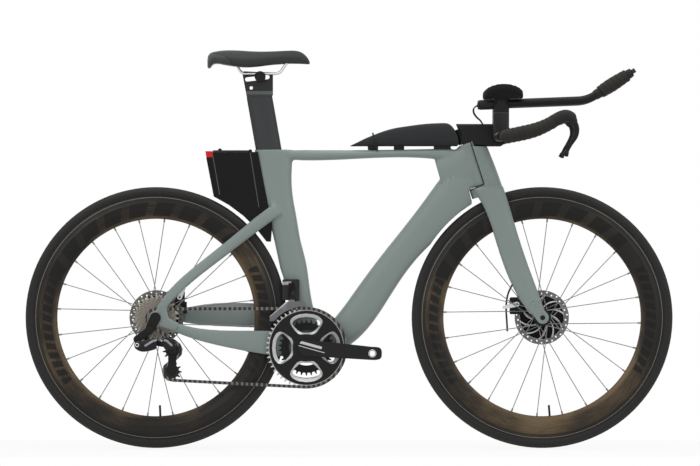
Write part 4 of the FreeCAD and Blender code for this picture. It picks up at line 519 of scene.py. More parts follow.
ownFinish = {
    "fork": framePaintFinish("forkPaint", 0.0016), "seatpost": postFinish(), "storage_box": boxFinish(),
    "crank_right": crankFinish(), "riser_columns": riserFinish(),
}
for end, axle in (("front", frontAxle), ("rear", rearAxle)):
    ownFinish[end + "_tyre"] = tyreFinish(end + "TyreRubber", axle)
    ownFinish[end + "_rim"] = rimFinish(end + "RimCarbon", axle)
    ownFinish[end + "_rotor"] = rotorFinish(end + "RotorSteel", axle)
slotOf = {part["node"]: part["material_slot"] for part in frame["record"]["subparts"]}
bodyOf = {name: body for body, members in frame["record"]["behaviour"]["bodies"].items() for name in members}


def finishOf(name):
    return ownFinish.get(name) or finishes[slotOf[name]]


for name, item in nodes.items():
    item.data.materials.clear()
    item.data.materials.append(finishOf(name).material)
    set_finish(item, slotOf[name])
print("materials set")


# small modelling helpers
def deselect():
    if bpy.context.object and bpy.context.object.mode != "OBJECT":
        bpy.ops.object.mode_set(mode="OBJECT")
    bpy.ops.object.select_all(action="DESELECT")


def pick(*items):
    deselect()
    for item in items:
        item.select_set(True)
    bpy.context.view_layer.objects.active = items[0]


def edited(piece, operator, **settings):
    pick(piece)
    bpy.ops.object.mode_set(mode="EDIT")
    bpy.ops.mesh.select_all(action="SELECT")
    operator(**settings)
    bpy.ops.object.mode_set(mode="OBJECT")


# a merged copy of CAD nodes as one new piece
def copyOf(pieceName, *nodeNames):
    copies = []
    for nodeName in nodeNames:
        copied = nodes[nodeName].copy()
        copied.data = nodes[nodeName].data.copy()
        copied.parent = None
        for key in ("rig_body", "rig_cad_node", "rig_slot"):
            if key in copied:
                del copied[key]
        scene.collection.objects.link(copied)
        copies.append(copied)
    pick(*copies)
    if len(copies) > 1:
        bpy.ops.object.join()
    piece = bpy.context.object
    piece.name = pieceName
    piece.data.name = pieceName
    edited(piece, bpy.ops.mesh.remove_doubles, threshold=0.00002)
    return piece


def changed(piece, kind, **settings):
    pick(piece)
    made = piece.modifiers.new(kind.lower(), kind)
    for key, value in settings.items():
        setattr(made, key, value)
    bpy.ops.object.modifier_apply(modifier=made.name)


def smoothed(piece, rounds, **settings):
    changed(piece, "SMOOTH", factor=0.5, iterations=rounds, **settings)


def subdivided(piece, levels):
    changed(piece, "SUBSURF", levels=levels, render_levels=levels)


def cutAway(piece, cutter):
    changed(piece, "BOOLEAN", object=cutter, operation="DIFFERENCE", solver="EXACT")
    bpy.data.objects.remove(cutter)


def remeshed(piece, voxel):
    pick(piece)
    piece.data.remesh_voxel_size = voxel
    bpy.ops.object.voxel_remesh()


def finished(piece, body, slotName, finish=None, angle=None):
    pick(piece)
    if angle is None:
        bpy.ops.object.shade_smooth()
    else:
        bpy.ops.object.shade_smooth_by_angle(angle=math.radians(angle))
    piece.data.materials.clear()
    piece.data.materials.append((finish or finishes[slotName]).material)
    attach(piece, body)
    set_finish(piece, slotName)


# a smooth line through a route, as a curve, and the points read back from it
def routeCurve(name, route, thickness=0.0):
    curve = bpy.data.curves.new(name, "CURVE")
    curve.dimensions = "3D"
    curve.resolution_u = 24
    spline = curve.splines.new("NURBS")
    spline.points.add(len(route) - 1)
    for point, place in zip(spline.points, route):
        point.co = (*place, 1.0)
    spline.order_u = 3
    spline.use_endpoint_u = True
    curve.bevel_depth = thickness
    curve.bevel_resolution = 5
    curve.use_fill_caps = True
    made = bpy.data.objects.new(name, curve)
    scene.collection.objects.link(made)
    return made


def pointsOn(route, spacing):
    line = routeCurve("guideLine", route)
    mesh = bpy.data.meshes.new_from_object(line)
    raw = [v.co.copy() for v in mesh.vertices]
    bpy.data.objects.remove(line)
    bpy.data.meshes.remove(mesh)
    points, left = [raw[0]], spacing
    for one, two in zip(raw, raw[1:]):
        step = two - one
        while step.length >= left:
            one = one + step.normalized() * left
            points.append(one)
            step = two - one
            left = spacing
        left -= step.length
    return points


def lineLength(route):
    spacing = 0.0005
    return spacing * (len(pointsOn(route, spacing)) - 1)


# cables at the front: brake wire down to the caliper, shift wires out of the extensions
cableSet = {"brake": [(0.433, 0.046, 0.438), (0.415, 0.037, 0.412), (0.406, 0.027, 0.384),
                      (0.4045, 0.0246, 0.354), (0.407, 0.0244, 0.324), (0.408, 0.0244, 0.3)],
            "shift": [(0.33602, 0.058, 0.88331), (0.32202, 0.057, 0.87931), (0.31902, 0.053, 0.86531),
                      (0.32802, 0.042, 0.85131), (0.34002, 0.026, 0.84231), (0.34602, 0.018, 0.82931)],
            "brakeRadius": 0.0024, "shiftRadius": 0.0016}


def mirroredRoute(route, side):
    return [(x, y * side, z) for x, y, z in route]


shiftRoute, shiftRadius = cableSet["shift"], cableSet["shiftRadius"]
for name, route, radius, end in (("brakeCable", cableSet["brake"], cableSet["brakeRadius"], "bare"),
                                 ("shiftWireLeft", shiftRoute, shiftRadius, "object"),
                                 ("shiftWireRight", mirroredRoute(shiftRoute, -1), shiftRadius, "object")):
    wire = routeCurve(name, route, radius)
    wire.data.materials.append(finishes["cable_black"].material)
    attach(wire, "steering")
    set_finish(wire, "cable_black")
    lineLength(route)
    2 * radius
    if name == "brakeCable":
        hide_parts("front_cables")
print("cables laid")


# angles once round, and a power that squares off a sine or cosine
def turns(count):
    return [2 * math.pi * k / count for k in range(count)]


def bent(value, power):
    return math.copysign(abs(value) ** power, value)


# rings of points joined into one closed shell
def loft(name, rings):
    deselect()
    made = bmesh.new()
    rows = [[made.verts.new(point) for point in ring] for ring in rings]
    for one, two in zip(rows, rows[1:]):
        for i in range(len(one)):
            made.faces.new((one[i - 1], one[i], two[i], two[i - 1]))
    made.faces.new(rows[0])
    made.faces.new(rows[-1])
    mesh = bpy.data.meshes.new(name)
    made.to_mesh(mesh)
    made.free()
    piece = bpy.data.objects.new(name, mesh)
    scene.collection.objects.link(piece)
    edited(piece, bpy.ops.mesh.normals_make_consistent, inside=False)
    return piece


# frame: the tubes grown together into one skin
frameSet = {"overlap": 0.0005, "voxel": 0.0027, "rounds": 5, "joinRounds": 36, "joinGain": 1.6, "joins": [
    # along X, height, reach
    (-0.190, 0.632, 0.062), (0.288, 0.700, 0.07), (0.262, 0.762, 0.045), (-0.150, 0.760, 0.035),
    (-0.118, 0.300, 0.05), (-0.452, 0.332, 0.03), (-0.470, 0.352, 0.032)],
    "parts": ("head_tube", "top_tube", "down_tube", "seat_tube", "chainstays", "seatstays")}
frameSkin = copyOf("frameSkin", *frameSet["parts"])
# web between the stays, just ahead of each rear dropout
webSet = {"high": (-0.479, 0.364), "low": (-0.475, 0.334), "round": 0.012, "across": (0.0712, 0.0788)}


def webRing(y):
    ring = []
    for angle in turns(32):
        angle += math.pi / 32  # half a step on, so none lies level
        x, z = webSet["high"] if math.sin(angle) > 0 else webSet["low"]
        ring.append((x + webSet["round"] * math.cos(angle), y, z + webSet["round"] * math.sin(angle)))
    return ring


for side in (-1, 1):
    web = loft("dropoutWeb", [webRing(side * y) for y in webSet["across"]])
    pick(frameSkin, web)
    bpy.ops.object.join()
changed(frameSkin, "DISPLACE", strength=frameSet["overlap"], mid_level=0.0)
remeshed(frameSkin, frameSet["voxel"])
smoothed(frameSkin, frameSet["rounds"])
joins = frameSkin.vertex_groups.new(name="joins")
for vertex in frameSkin.data.vertices:
    weight = 0.0
    for x, z, reach in frameSet["joins"]:
        weight = max(weight, 1.0 - math.hypot(vertex.co.x - x, vertex.co.z - z) / reach)
    if weight > 0.0:
        joins.add([vertex.index], min(1.0, weight * frameSet["joinGain"]), "REPLACE")
smoothed(frameSkin, frameSet["joinRounds"], vertex_group="joins")
finished(frameSkin, "frame", "frame_paint")
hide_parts(*frameSet["parts"])
print("frame skin", len(frameSkin.data.polygons), "faces")

# fork: one skin with its edges rounded over
forkSet = {"voxel": 0.0024, "rounds": 4}
fork = copyOf("forkSkin", "fork")
remeshed(fork, forkSet["voxel"])
smoothed(fork, forkSet["rounds"])
finished(fork, "steering", "frame_paint", ownFinish["fork"])
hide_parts("fork")
print("fork skin", len(fork.data.polygons), "faces")

# cast and moulded parts with their edges rounded over
roundSet = {"stem": 0.0012, "base_bar": 0.0013, "riser_columns": 0.001, "seatpost": 0.0012,
            "saddle_clamp": 0.0007, "rear_derailleur_body": 0.0006, "derailleur_link": 0.0006,
            "derailleur_knuckle": 0.0006, "rear_caliper": 0.0007, "front_caliper": 0.0007,
            "front_derailleur_body": 0.0007, "crank_right": 0.0008, "crank_left": 0.0008,
            "storage_box": 0.0011, "storage_box_lid": 0.0009, "rear_light": 0.0006, "arm_cups": 0.0009}
for name, voxel in roundSet.items():
    words = name.split("_")
    piece = copyOf(words[0] + "".join(word.title() for word in words[1:]), name)
    remeshed(piece, voxel)
    smoothed(piece, 3)
    finished(piece, bodyOf[name], slotOf[name], finishOf(name))
    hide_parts(name)
    print(piece.name, len(piece.data.polygons), "faces")

# the crank's end drawn out square past its pedal hole
tipSet = {"hole": (0.0598, 0.2446), "keep": 0.0108, "edge": 0.017, "reach": 0.03, "long": 0.0245,
          "power": 0.6}
for vertex in bpy.data.objects["crankRight"].data.vertices:
    ahead, above = vertex.co.x - tipSet["hole"][0], vertex.co.z - tipSet["hole"][1]
    reach = math.hypot(ahead, above)
    if ahead > 0 and tipSet["keep"] < reach < tipSet["reach"]:
        share = min(1.0, (reach - tipSet["keep"]) / (tipSet["edge"] - tipSet["keep"]))
        along, aside = ahead / reach, abs(above) / reach
        vertex.co.x += share * (tipSet["long"] * along ** tipSet["power"] - tipSet["edge"] * along)
        vertex.co.z += math.copysign(share * tipSet["edge"] * (aside ** tipSet["power"] - aside), above)


# a tube along a route whose radius is given at each turn and length
def tube(name, route, spacing, sides, radiusAt, across=None):
    points = pointsOn(route, spacing)
    total = spacing * (len(points) - 1)
    upright = Vector((0, 0, 1))
    rings = []
    for i, point in enumerate(points):
        ahead = (points[min(i + 1, len(points) - 1)] - points[max(i - 1, 0)]).normalized()
        side = (across or ahead.cross(upright)).normalized()
        above = side.cross(ahead)
        ring = []
        for turn in turns(sides):
            outward = side * math.cos(turn) + above * math.sin(turn)
            ring.append(point + outward * radiusAt(i * spacing, total, turn))
        rings.append(ring)
    return loft(name, rings)


# a flat disc that faces across the bike
def disc(name, vertices, radius, thick, middle, y):
    deselect()
    bpy.ops.mesh.primitive_cylinder_add(vertices=vertices, radius=radius, depth=thick,
                                        location=(middle[0], y, middle[1]), rotation=(math.radians(90), 0, 0))
    piece = bpy.context.object
    piece.name = name
    bpy.ops.object.transform_apply(location=True, rotation=True, scale=True)
    return piece


# crank face: a black disc over the big ring, four windows with bright sloping walls
plateSet = {"radius": 0.0946, "back": -0.0484, "front": -0.0549, "inner": 0.035, "outer": 0.0885,
            "halfIn": 0.021, "halfOut": 0.0525, "slope": 0.0102, "slopeIn": 0.4, "slopeSide": 0.72,
            "overlap": 0.0004, "square": 0.55, "flat": 0.985, "rim": 0.003}


def windowRing(turn, shrink, y):
    low, high = plateSet["inner"] + shrink * plateSet["slopeIn"], plateSet["outer"] - shrink
    ring = []
    for angle in turns(48):
        across = bent(math.cos(angle), plateSet["square"])
        out = bent(math.sin(angle), plateSet["square"]) * 0.5 + 0.5
        radius = low + (high - low) * out
        half = plateSet["halfIn"] + (plateSet["halfOut"] - plateSet["halfIn"]) * out
        around = turn + across * (half - shrink * plateSet["slopeSide"]) / radius
        ring.append((bracket[0] + radius * math.sin(around), y, bracket[1] + radius * math.cos(around)))
    return ring


plate = disc("crankPlate", 160, plateSet["radius"], plateSet["back"] - plateSet["front"], bracket,
             (plateSet["back"] + plateSet["front"]) / 2)
for quarter in range(4):
    turn = quarter * math.pi / 2
    outer = windowRing(turn, 0.0, plateSet["front"] - plateSet["overlap"])
    inner = windowRing(turn, plateSet["slope"], plateSet["back"] + plateSet["overlap"])
    cutAway(plate, loft("windowCutter", [outer, inner]))
finished(plate, bodyOf["crank_right"], "gloss_black", angle=30)
windowAlloy = coatedFinish("windowAlloy", (0.66, 0.67, 0.68), 0.32, 700.0, 0.00002, 0.1, Metallic=0.35)
plate.data.materials.append(windowAlloy.material)
for face in plate.data.polygons:
    out = math.hypot(face.center.x - bracket[0], face.center.z - bracket[1])
    if abs(face.normal.y) < plateSet["flat"] and out < plateSet["radius"] - plateSet["rim"]:
        face.material_index = 1
print("crank plate", len(plate.data.polygons), "faces")

# chain: every link bright about its pins and dark at its waist
chainSet = {"pitch": 0.0127, "outerWidth": 0.0058, "between": 0.28, "near": -0.3}


def chainFinish(upperPin, lowerPin):
    f = Finish("chainPlate", (0.3, 0.285, 0.265), 0.36, Metallic=0.8)
    x, z = f.axes()[::2]
    start = (z > chainSet["between"]) * (upperPin - lowerPin) + lowerPin
    pins = ((x - start) * (2 * math.pi / chainSet["pitch"]) + math.pi / 2).ripple()
    smudge = f.noise(90.0, 4.0)
    bright = f.blend(smudge, (0.1, 0.094, 0.087), (0.25, 0.235, 0.217))
    f.feed(Base_Color=f.blend(pins.soft(0.3, 0.95), (0.034, 0.032, 0.03), bright))
    f.feed(Roughness=0.3 + smudge * 0.16)
    return f.bump(smudge, 0.00004)


chain = copyOf("chainLinks", "chain")
made = bmesh.new()
made.from_mesh(chain.data)
waiting = set(made.faces)
pinsSeen = {True: [], False: []}
while waiting:
    island = [waiting.pop()]
    for face in island:
        for edge in face.edges:
            for other in edge.link_faces:
                if other in waiting:
                    waiting.remove(other)
                    island.append(other)
    places = [vertex.co for face in island for vertex in face.verts]
    if max(p.y for p in places) - min(p.y for p in places) > chainSet["outerWidth"]:
        middle = (min(p.x for p in places) + max(p.x for p in places)) / 2
        pinsSeen[places[0].z > chainSet["between"]].append(middle + chainSet["pitch"] / 2)
made.free()
pinAt = {high: min(found, key=lambda x: abs(x - chainSet["near"])) for high, found in pinsSeen.items()}
finished(chain, bodyOf["chain"], slotOf["chain"], chainFinish(pinAt[True], pinAt[False]), angle=35)
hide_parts("chain")
print("chain", len(chain.data.polygons), "faces")

# front derailleur: cage trimmed to a slim blade that follows the ring, pale panel on its body
shiftSet = {"cut": [(-0.2185, 0.3265), (-0.1612, 0.3774), (-0.1612, 0.402), (-0.2185, 0.402)],
            "across": (-0.09, 0.02), "dark": (0.379, 0.384),
            "rim": ((-0.2115, 0.3345), (-0.1612, 0.3770), 0.0028),
            "panel": ((-0.1740, 0.4235), (-0.1485, 0.4255), 0.0042)}


def cageFinish():
    f = Finish("cageSteel", (0.2, 0.2, 0.205), 0.34, Metallic=0.9)
    z = f.axes()[2]
    streak = f.noise(8.0, 4.0, f.stretched((40.0, 40.0, 200.0)))
    rim = f.lineMask(*shiftSet["rim"])
    steel = f.blend(streak, (0.075, 0.075, 0.08), (0.2, 0.2, 0.205))
    steel = f.blend(rim * 0.7, steel, (0.5, 0.5, 0.5))
    f.feed(Base_Color=f.blend(z.soft(*shiftSet["dark"]), steel, (0.01, 0.01, 0.011)))
    f.feed(Roughness=0.26 + streak * 0.16)
    return f.bump(streak, 0.00004)


def shiftBodyFinish():
    f = Finish("shiftBodyBlack", (0.01, 0.01, 0.011), 0.34, Specular_IOR_Level=0.3)
    grain = f.noise(1100.0, 2.0)
    panel = f.lineMask(*shiftSet["panel"])
    black = f.blend(grain, (0.006, 0.006, 0.007), (0.014, 0.014, 0.015))
    f.feed(Base_Color=f.blend(panel * 0.85, black, (0.5, 0.5, 0.51)))
    f.feed(Roughness=0.28 + grain * 0.12)
    return f.bump(grain + panel * 6.0, 0.00004)


cutter = loft("cageCutter", [[(x, y, z) for x, z in shiftSet["cut"]] for y in shiftSet["across"]])
cage = copyOf("frontDerailleurCage", "front_derailleur_cage")
cutAway(cage, cutter)
finished(cage, bodyOf["front_derailleur_cage"], slotOf["front_derailleur_cage"], cageFinish(), angle=35)
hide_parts("front_derailleur_cage")
shiftBody = bpy.data.objects["frontDerailleurBody"]
shiftBody.data.materials.clear()
shiftBody.data.materials.append(shiftBodyFinish().material)
print("front derailleur", len(cage.data.polygons), "faces")

# rear derailleur: swept cover outside the link, with a painted highlight along its shoulder
coverSet = {"outside": -0.1262, "square": 0.8, "shineHalf": 0.0026, "stations": {
    # along X, middle height, half height, inner face
    "derailleur_link": [
        (-0.5500, 0.2670, 0.0050, -0.1194), (-0.5460, 0.2660, 0.0105, -0.1194),
        (-0.5320, 0.2630, 0.0145, -0.1194), (-0.5150, 0.2650, 0.0150, -0.1150),
        (-0.5010, 0.2690, 0.0150, -0.1150), (-0.4945, 0.2705, 0.0145, -0.1150),
        (-0.4920, 0.2710, 0.0110, -0.1170)],
    "derailleur_knuckle": [
        (-0.4745, 0.2712, 0.0110, -0.1180), (-0.4720, 0.2712, 0.0160, -0.1172),
        (-0.4640, 0.2705, 0.0165, -0.1172), (-0.4560, 0.2690, 0.0155, -0.1172),
        (-0.4470, 0.2695, 0.0110, -0.1172), (-0.4435, 0.2697, 0.0050, -0.1180)]},
    "shine": [(-0.5230, 0.2640), (-0.5020, 0.2775), (-0.4850, 0.2815), (-0.4668, 0.2782), (-0.4525, 0.2650)]}


def coverRing(x, middle, half, inside):
    ring = []
    for angle in turns(28):
        out = bent(math.cos(angle), coverSet["square"]) * 0.5 + 0.5
        ring.append((x, inside + (coverSet["outside"] - inside) * out, middle + half * math.sin(angle)))
    return ring


def coverFinish():
    f = Finish("coverGloss", (0.01, 0.01, 0.012), 0.24, Coat_Weight=0.06, Coat_Roughness=0.1,
               Specular_IOR_Level=0.2)
    cloud = f.noise(60.0, 4.0)
    # painted highlight: pale streaks along the cover's shoulder
    shine = f.linesMask(runs(coverSet["shine"], coverSet["shineHalf"]))
    black = f.blend(cloud, (0.004, 0.004, 0.005), (0.014, 0.0145, 0.017))
    f.feed(Base_Color=f.blend(shine.maths("MINIMUM", shine, 1.0) * 0.8, black, (0.42, 0.43, 0.46)))
    f.feed(Roughness=0.18 + cloud * 0.12)
    return f.bump(cloud, 0.0001)


coverGloss = coverFinish()
for rider, stations in coverSet["stations"].items():
    cover = loft(rider.split("_")[1] + "Cover", [coverRing(*station) for station in stations])
    subdivided(cover, 2)
    finished(cover, bodyOf[rider], slotOf[rider], coverGloss)
print("derailleur covers made")

# bright rings at the pedal hole and on the derailleur cover
boltSet = {
    # place, radius, thickness, node it rides with
    "pedal": ((0.0598, -0.0731, 0.2446), 0.0092, 0.0011, "crank_right"),
    "cover": ((-0.5425, -0.1256, 0.2668), 0.0042, 0.0013, "derailleur_link")}
for boltName, (place, wide, thick, rider) in boltSet.items():
    deselect()
    bpy.ops.mesh.primitive_torus_add(location=place, rotation=(math.radians(90), 0, 0), major_segments=48,
                                     minor_segments=12, major_radius=wide, minor_radius=thick)
    ring = bpy.context.object
    ring.name = boltName + "Ring"
    bpy.ops.object.transform_apply(location=True, rotation=True, scale=True)
    finished(ring, bodyOf[rider], "silver_metal")
print("bolt rings set")

# brake discs: a dark finned carrier fills the middle of each
discSet = {"radius": 0.0568, "thick": 0.0012, "bevel": 0.0004, "frontAcross": 0.0345, "rearAcross": 0.0555}
for name, middle, y in (("front_rotor", frontAxle, discSet["frontAcross"]),
                        ("rear_rotor", rearAxle, discSet["rearAcross"])):
    carrier = disc(name.split("_")[0] + "DiscCarrier", 96, discSet["radius"], discSet["thick"], middle, y)
    changed(carrier, "BEVEL", width=discSet["bevel"], segments=2)
    finished(carrier, bodyOf[name], slotOf[name], finishOf(name), angle=30)
print("disc carriers made")

# hand grips: tape wound in turns, each one lapped over the edge of the last
tapeSet = {"spacing": 0.0011, "sides": 40, "pitch": 0.0135, "step": 0.0014, "edge": 0.08,
           "bareRadius": 0.0135, "barRadius": 0.0155, "hornSwell": 0.0012, "hornEnds": (0.02, 0.004, 0.45),
           "stickRadius": 0.0152, "stickSwell": 0.0018, "stickEarly": 1.15, "horn":
           [(0.398, 0.176, 0.8003), (0.398, 0.203, 0.8003), (0.428, 0.2, 0.8067), (0.468, 0.2, 0.8149),
            (0.501, 0.2, 0.8262), (0.5245, 0.2, 0.8395)],
           "stick": [(0.6475, 0.058, 0.9168), (0.668, 0.058, 0.9298), (0.694, 0.058, 0.9463),
                     (0.715, 0.058, 0.9598)]}


def wound(along, turn):
    share = (along / tapeSet["pitch"] + turn / (2 * math.pi)) % 1.0
    edge = tapeSet["edge"]
    return tapeSet["step"] * (1.0 - share if share > edge else share / edge)


def hornRadius(along, total, turn):
    fadeIn, fadeOut, least = tapeSet["hornEnds"]
    ends = min(1.0, along / fadeIn, (total - along) / fadeOut + least)
    swell = tapeSet["hornSwell"] * math.sin(math.pi * along / total)
    grown = tapeSet["barRadius"] - tapeSet["bareRadius"] + swell
    return tapeSet["bareRadius"] + grown * ends + wound(along, turn)


def stickRadius(along, total, turn):
    share = min(1.0, along / total * tapeSet["stickEarly"])
    return tapeSet["stickRadius"] + tapeSet["stickSwell"] * math.sin(math.pi * share) + wound(along, turn)


for side, sideName in ((-1, "Right"), (1, "Left")):
    for routeName, radiusAt in (("horn", hornRadius), ("stick", stickRadius)):
        route = mirroredRoute(tapeSet[routeName], side)
        grip = tube(routeName + "Tape" + sideName, route, tapeSet["spacing"], tapeSet["sides"], radiusAt)
        finished(grip, "steering", "tape", angle=50)
        if side > 0 and routeName == "stick":
            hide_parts("grip_tape")
print("grips wound")

# moulded hoods, brake levers with a bulb at the tip, capped extension ends, collars below their tape
handSpacing, handSides = 0.0008, 32
handSet = {
    # route, radius at each share of its length, node it stands for
    "hood": ([(0.5205, 0.2, 0.838), (0.533, 0.2, 0.8455), (0.547, 0.2, 0.8515), (0.561, 0.2, 0.8525),
              (0.571, 0.2, 0.8445), (0.5775, 0.2, 0.8285)],
             [(0.0, 0.0156), (0.18, 0.0166), (0.45, 0.0166), (0.68, 0.0142), (0.85, 0.0098), (0.96, 0.0074),
              (1.0, 0.003)], "control_housings"),
    "lever": ([(0.561, 0.2, 0.850), (0.573, 0.2, 0.842), (0.5815, 0.2, 0.822), (0.5795, 0.2, 0.802),
               (0.568, 0.2, 0.784), (0.557, 0.2, 0.766), (0.5505, 0.2, 0.7485)],
              [(0.0, 0.003), (0.06, 0.0066), (0.3, 0.0066), (0.5, 0.0062), (0.7, 0.0048), (0.86, 0.0046),
               (0.93, 0.0068), (0.985, 0.0074), (1.0, 0.003)], "brake_lever"),
    "cap": ([(0.7105, 0.058, 0.9565), (0.7190, 0.058, 0.9620), (0.7274, 0.058, 0.9674)],
            [(0.0, 0.0118), (0.55, 0.0122), (0.85, 0.0112), (1.0, 0.007)], "control_housings"),
    "tail": ([(0.3305, 0.058, 0.8830), (0.350, 0.058, 0.8838), (0.3705, 0.058, 0.8846)],
             [(0.0, 0.004), (0.06, 0.0088), (0.2, 0.0119), (0.9, 0.0121), (1.0, 0.0112)], "control_housings"),
    "collar": ([(0.6345, 0.058, 0.9083), (0.6405, 0.058, 0.9123), (0.6475, 0.058, 0.9168)],
               [(0.0, 0.0112), (0.1, 0.0128), (0.9, 0.0132), (1.0, 0.0115)], "control_housings")}


def tabled(rows):
    def radiusAt(along, total, turn):
        share = along / total
        for (one, first), (two, second) in zip(rows, rows[1:]):
            if share <= two:
                step = (share - one) / (two - one)
                return first + (second - first) * step * step * (3 - 2 * step)
        return rows[-1][1]
    return radiusAt


for side, sideName in ((-1, "right"), (1, "left")):
    for partName, (route, rows, nodeName) in handSet.items():
        covered = nodeName + "_" + sideName if nodeName == "brake_lever" else nodeName
        made = tube(partName + sideName.title(), mirroredRoute(route, side), handSpacing, handSides,
                    tabled(rows), Vector((0, 1, 0)))
        finished(made, bodyOf[covered], slotOf[covered], finishOf(covered))
        if partName == "lever" or (partName == "hood" and side > 0):
            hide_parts(covered)
print("levers and hoods made")

# saddle: crowned pad with a drooping tail and a shallow channel along its middle
saddleSet = {"stations": [
    # along X, half width, top, edge height, underside
    (-0.3650, 0.038, 1.0045, 0.9795, 0.9780), (-0.3615, 0.048, 1.0135, 0.9788, 0.9770),
    (-0.3560, 0.0545, 1.0172, 0.9805, 0.9780), (-0.3515, 0.058, 1.0194, 0.9905, 0.9890),
    (-0.3370, 0.0635, 1.0224, 0.9918, 0.9895), (-0.3180, 0.067, 1.0244, 0.9890, 0.9860),
    (-0.3000, 0.067, 1.0246, 0.9852, 0.9828), (-0.2800, 0.0645, 1.0240, 0.9826, 0.9800),
    (-0.2600, 0.060, 1.0226, 0.9818, 0.9795), (-0.2350, 0.051, 1.0216, 0.9842, 0.9812),
    (-0.2100, 0.041, 1.0220, 0.9884, 0.9850), (-0.1850, 0.033, 1.0233, 0.9910, 0.9880),
    (-0.1600, 0.028, 1.0246, 0.9918, 0.9890), (-0.1400, 0.0255, 1.0248, 0.9912, 0.9888),
    (-0.1260, 0.0230, 1.0216, 0.9906, 0.9886), (-0.1140, 0.0195, 1.0135, 0.9896, 0.9882),
    (-0.1060, 0.0155, 1.0045, 0.9890, 0.9878), (-0.1010, 0.0105, 0.9950, 0.9886, 0.9876)],
    "crown": 3.4, "roll": 0.62, "belly": 0.12, "channel": 0.0042, "channelWide": 0.009,
    "channelMiddle": -0.235, "channelReach": 0.115}


def saddleRing(x, half, top, edge, under):
    ring = []
    for share in (-1.0, -0.98, -0.9, -0.72, -0.5, -0.3, -0.14, 0.0, 0.14, 0.3, 0.5, 0.72, 0.9, 0.98, 1.0):
        rolled = abs(share) ** saddleSet["crown"] * saddleSet["roll"]
        drop = (top - edge) * (rolled + (1 - saddleSet["roll"] if abs(share) > 0.99 else 0.0))
        groove = saddleSet["channel"] * math.exp(-(share * half / saddleSet["channelWide"]) ** 2)
        groove *= max(0.0, 1.0 - ((x - saddleSet["channelMiddle"]) / saddleSet["channelReach"]) ** 2)
        ring.append((x, share * half, top - drop - groove))
    for share in (0.93, 0.6, 0.0, -0.6, -0.93):
        ring.append((x, share * half, under + (top - edge) * saddleSet["belly"] * (1 - abs(share))))
    return ring


saddle = loft("saddlePad", [saddleRing(*station) for station in saddleSet["stations"]])
subdivided(saddle, 3)
finished(saddle, "saddle", "saddle_cover")
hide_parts("saddle_cover")
print("saddle", len(saddle.data.polygons), "faces")

# slim moulded shell under the pad
shellSet = {"thick": 0.0045, "square": 0.7, "stations": [
    # along X, half width, underside
    (-0.331, 0.040, 0.9880), (-0.318, 0.052, 0.9855), (-0.295, 0.056, 0.9820), (-0.265, 0.050, 0.9798),
    (-0.235, 0.041, 0.9812), (-0.205, 0.031, 0.9858), (-0.175, 0.023, 0.9880), (-0.150, 0.018, 0.9888)]}


def shellRing(x, half, low):
    ring = []
    for angle in turns(24):
        across = bent(math.cos(angle), shellSet["square"])
        ring.append((x, half * across, low + shellSet["thick"] * (0.5 + 0.5 * math.sin(angle))))
    return ring


shell = loft("saddleShell", [shellRing(*station) for station in shellSet["stations"]])
subdivided(shell, 2)
finished(shell, "saddle", slotOf["saddle_base"], finishOf("saddle_base"))
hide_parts("saddle_base")
print("saddle shell", len(shell.data.polygons), "faces")


# foam swells a little inside its cover
def puffed(piece, voxel, pressure, cap):
    remeshed(piece, voxel)
    before = [v.co.copy() for v in piece.data.vertices]
    pick(piece)
    cloth = piece.modifiers.new("swell", "CLOTH")
    cloth.settings.quality = 6
    cloth.settings.use_pressure = True
    cloth.settings.uniform_pressure_force = pressure
    cloth.settings.effector_weights.gravity = 0.0
    cloth.settings.tension_stiffness = 20.0
    cloth.settings.compression_stiffness = 20.0
    for frameNumber in range(1, 21):
        scene.frame_set(frameNumber)
    bpy.ops.object.modifier_apply(modifier="swell")
    for vertex, start in zip(piece.data.vertices, before):
        move = vertex.co - start
        if move.length > cap:
            vertex.co = start + move.normalized() * cap
    scene.frame_set(1)
    smoothed(piece, 3)
    subdivided(piece, 1)


padSet = {"grow": 0.0056, "voxel": 0.004, "pressure": 4.0, "cap": 0.0022}
armPads = copyOf("armPads", "arm_pads")
changed(armPads, "DISPLACE", strength=padSet["grow"], mid_level=0.0)
puffed(armPads, padSet["voxel"], padSet["pressure"], padSet["cap"])
finished(armPads, "steering", "pad_foam")
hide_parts("arm_pads")
print("arm pads", len(armPads.data.polygons), "faces")

# bag: lofted shell with a sharp tail, sagging between its seams
bagSet = {"floorZ": 0.7765, "sags": [(0.0012, 46.0), (0.0006, 131.0)], "square": (0.55, 0.62),
          "bulge": 0.06, "bulgeReach": 0.3, "stations": [
    # along X, half width, top, side bulge height
    (0.0020, 0.0050, 0.7785, 0.5), (0.0180, 0.0095, 0.7865, 0.5), (0.0400, 0.0135, 0.7975, 0.5),
    (0.0620, 0.0165, 0.8065, 0.5), (0.0900, 0.0190, 0.8155, 0.48), (0.1200, 0.0205, 0.8240, 0.46),
    (0.1500, 0.0210, 0.8300, 0.45), (0.1800, 0.0212, 0.8340, 0.45), (0.2120, 0.0212, 0.8360, 0.45),
    (0.2400, 0.0210, 0.8360, 0.45)],
    # share of the way to the hollow end, half width, top
    "end": [(0.4, 0.0210, 0.8358), (0.75, 0.0208, 0.8345), (0.93, 0.0204, 0.8310), (1.0, 0.0196, 0.8255)],
    "hollow": 0.0272, "axis": (0.30402, 0.784307, 0.32492)}


def bagRing(x, half, top, waist):
    low = bagSet["floorZ"]
    tall = top - low
    sag = sum(deep * math.sin(x * rate) for deep, rate in bagSet["sags"])
    squareWide, squareHigh = bagSet["square"]
    ring = []
    for angle in turns(28):
        wide, high = bent(math.sin(angle), squareWide), bent(math.cos(angle), squareHigh)
        share = high * 0.5 + 0.5
        bulge = 1.0 + bagSet["bulge"] * math.exp(-((share - waist) / bagSet["bulgeReach"]) ** 2)
        ring.append((x, wide * half * bulge, low + tall * share - sag * max(0.0, high)))
    return ring


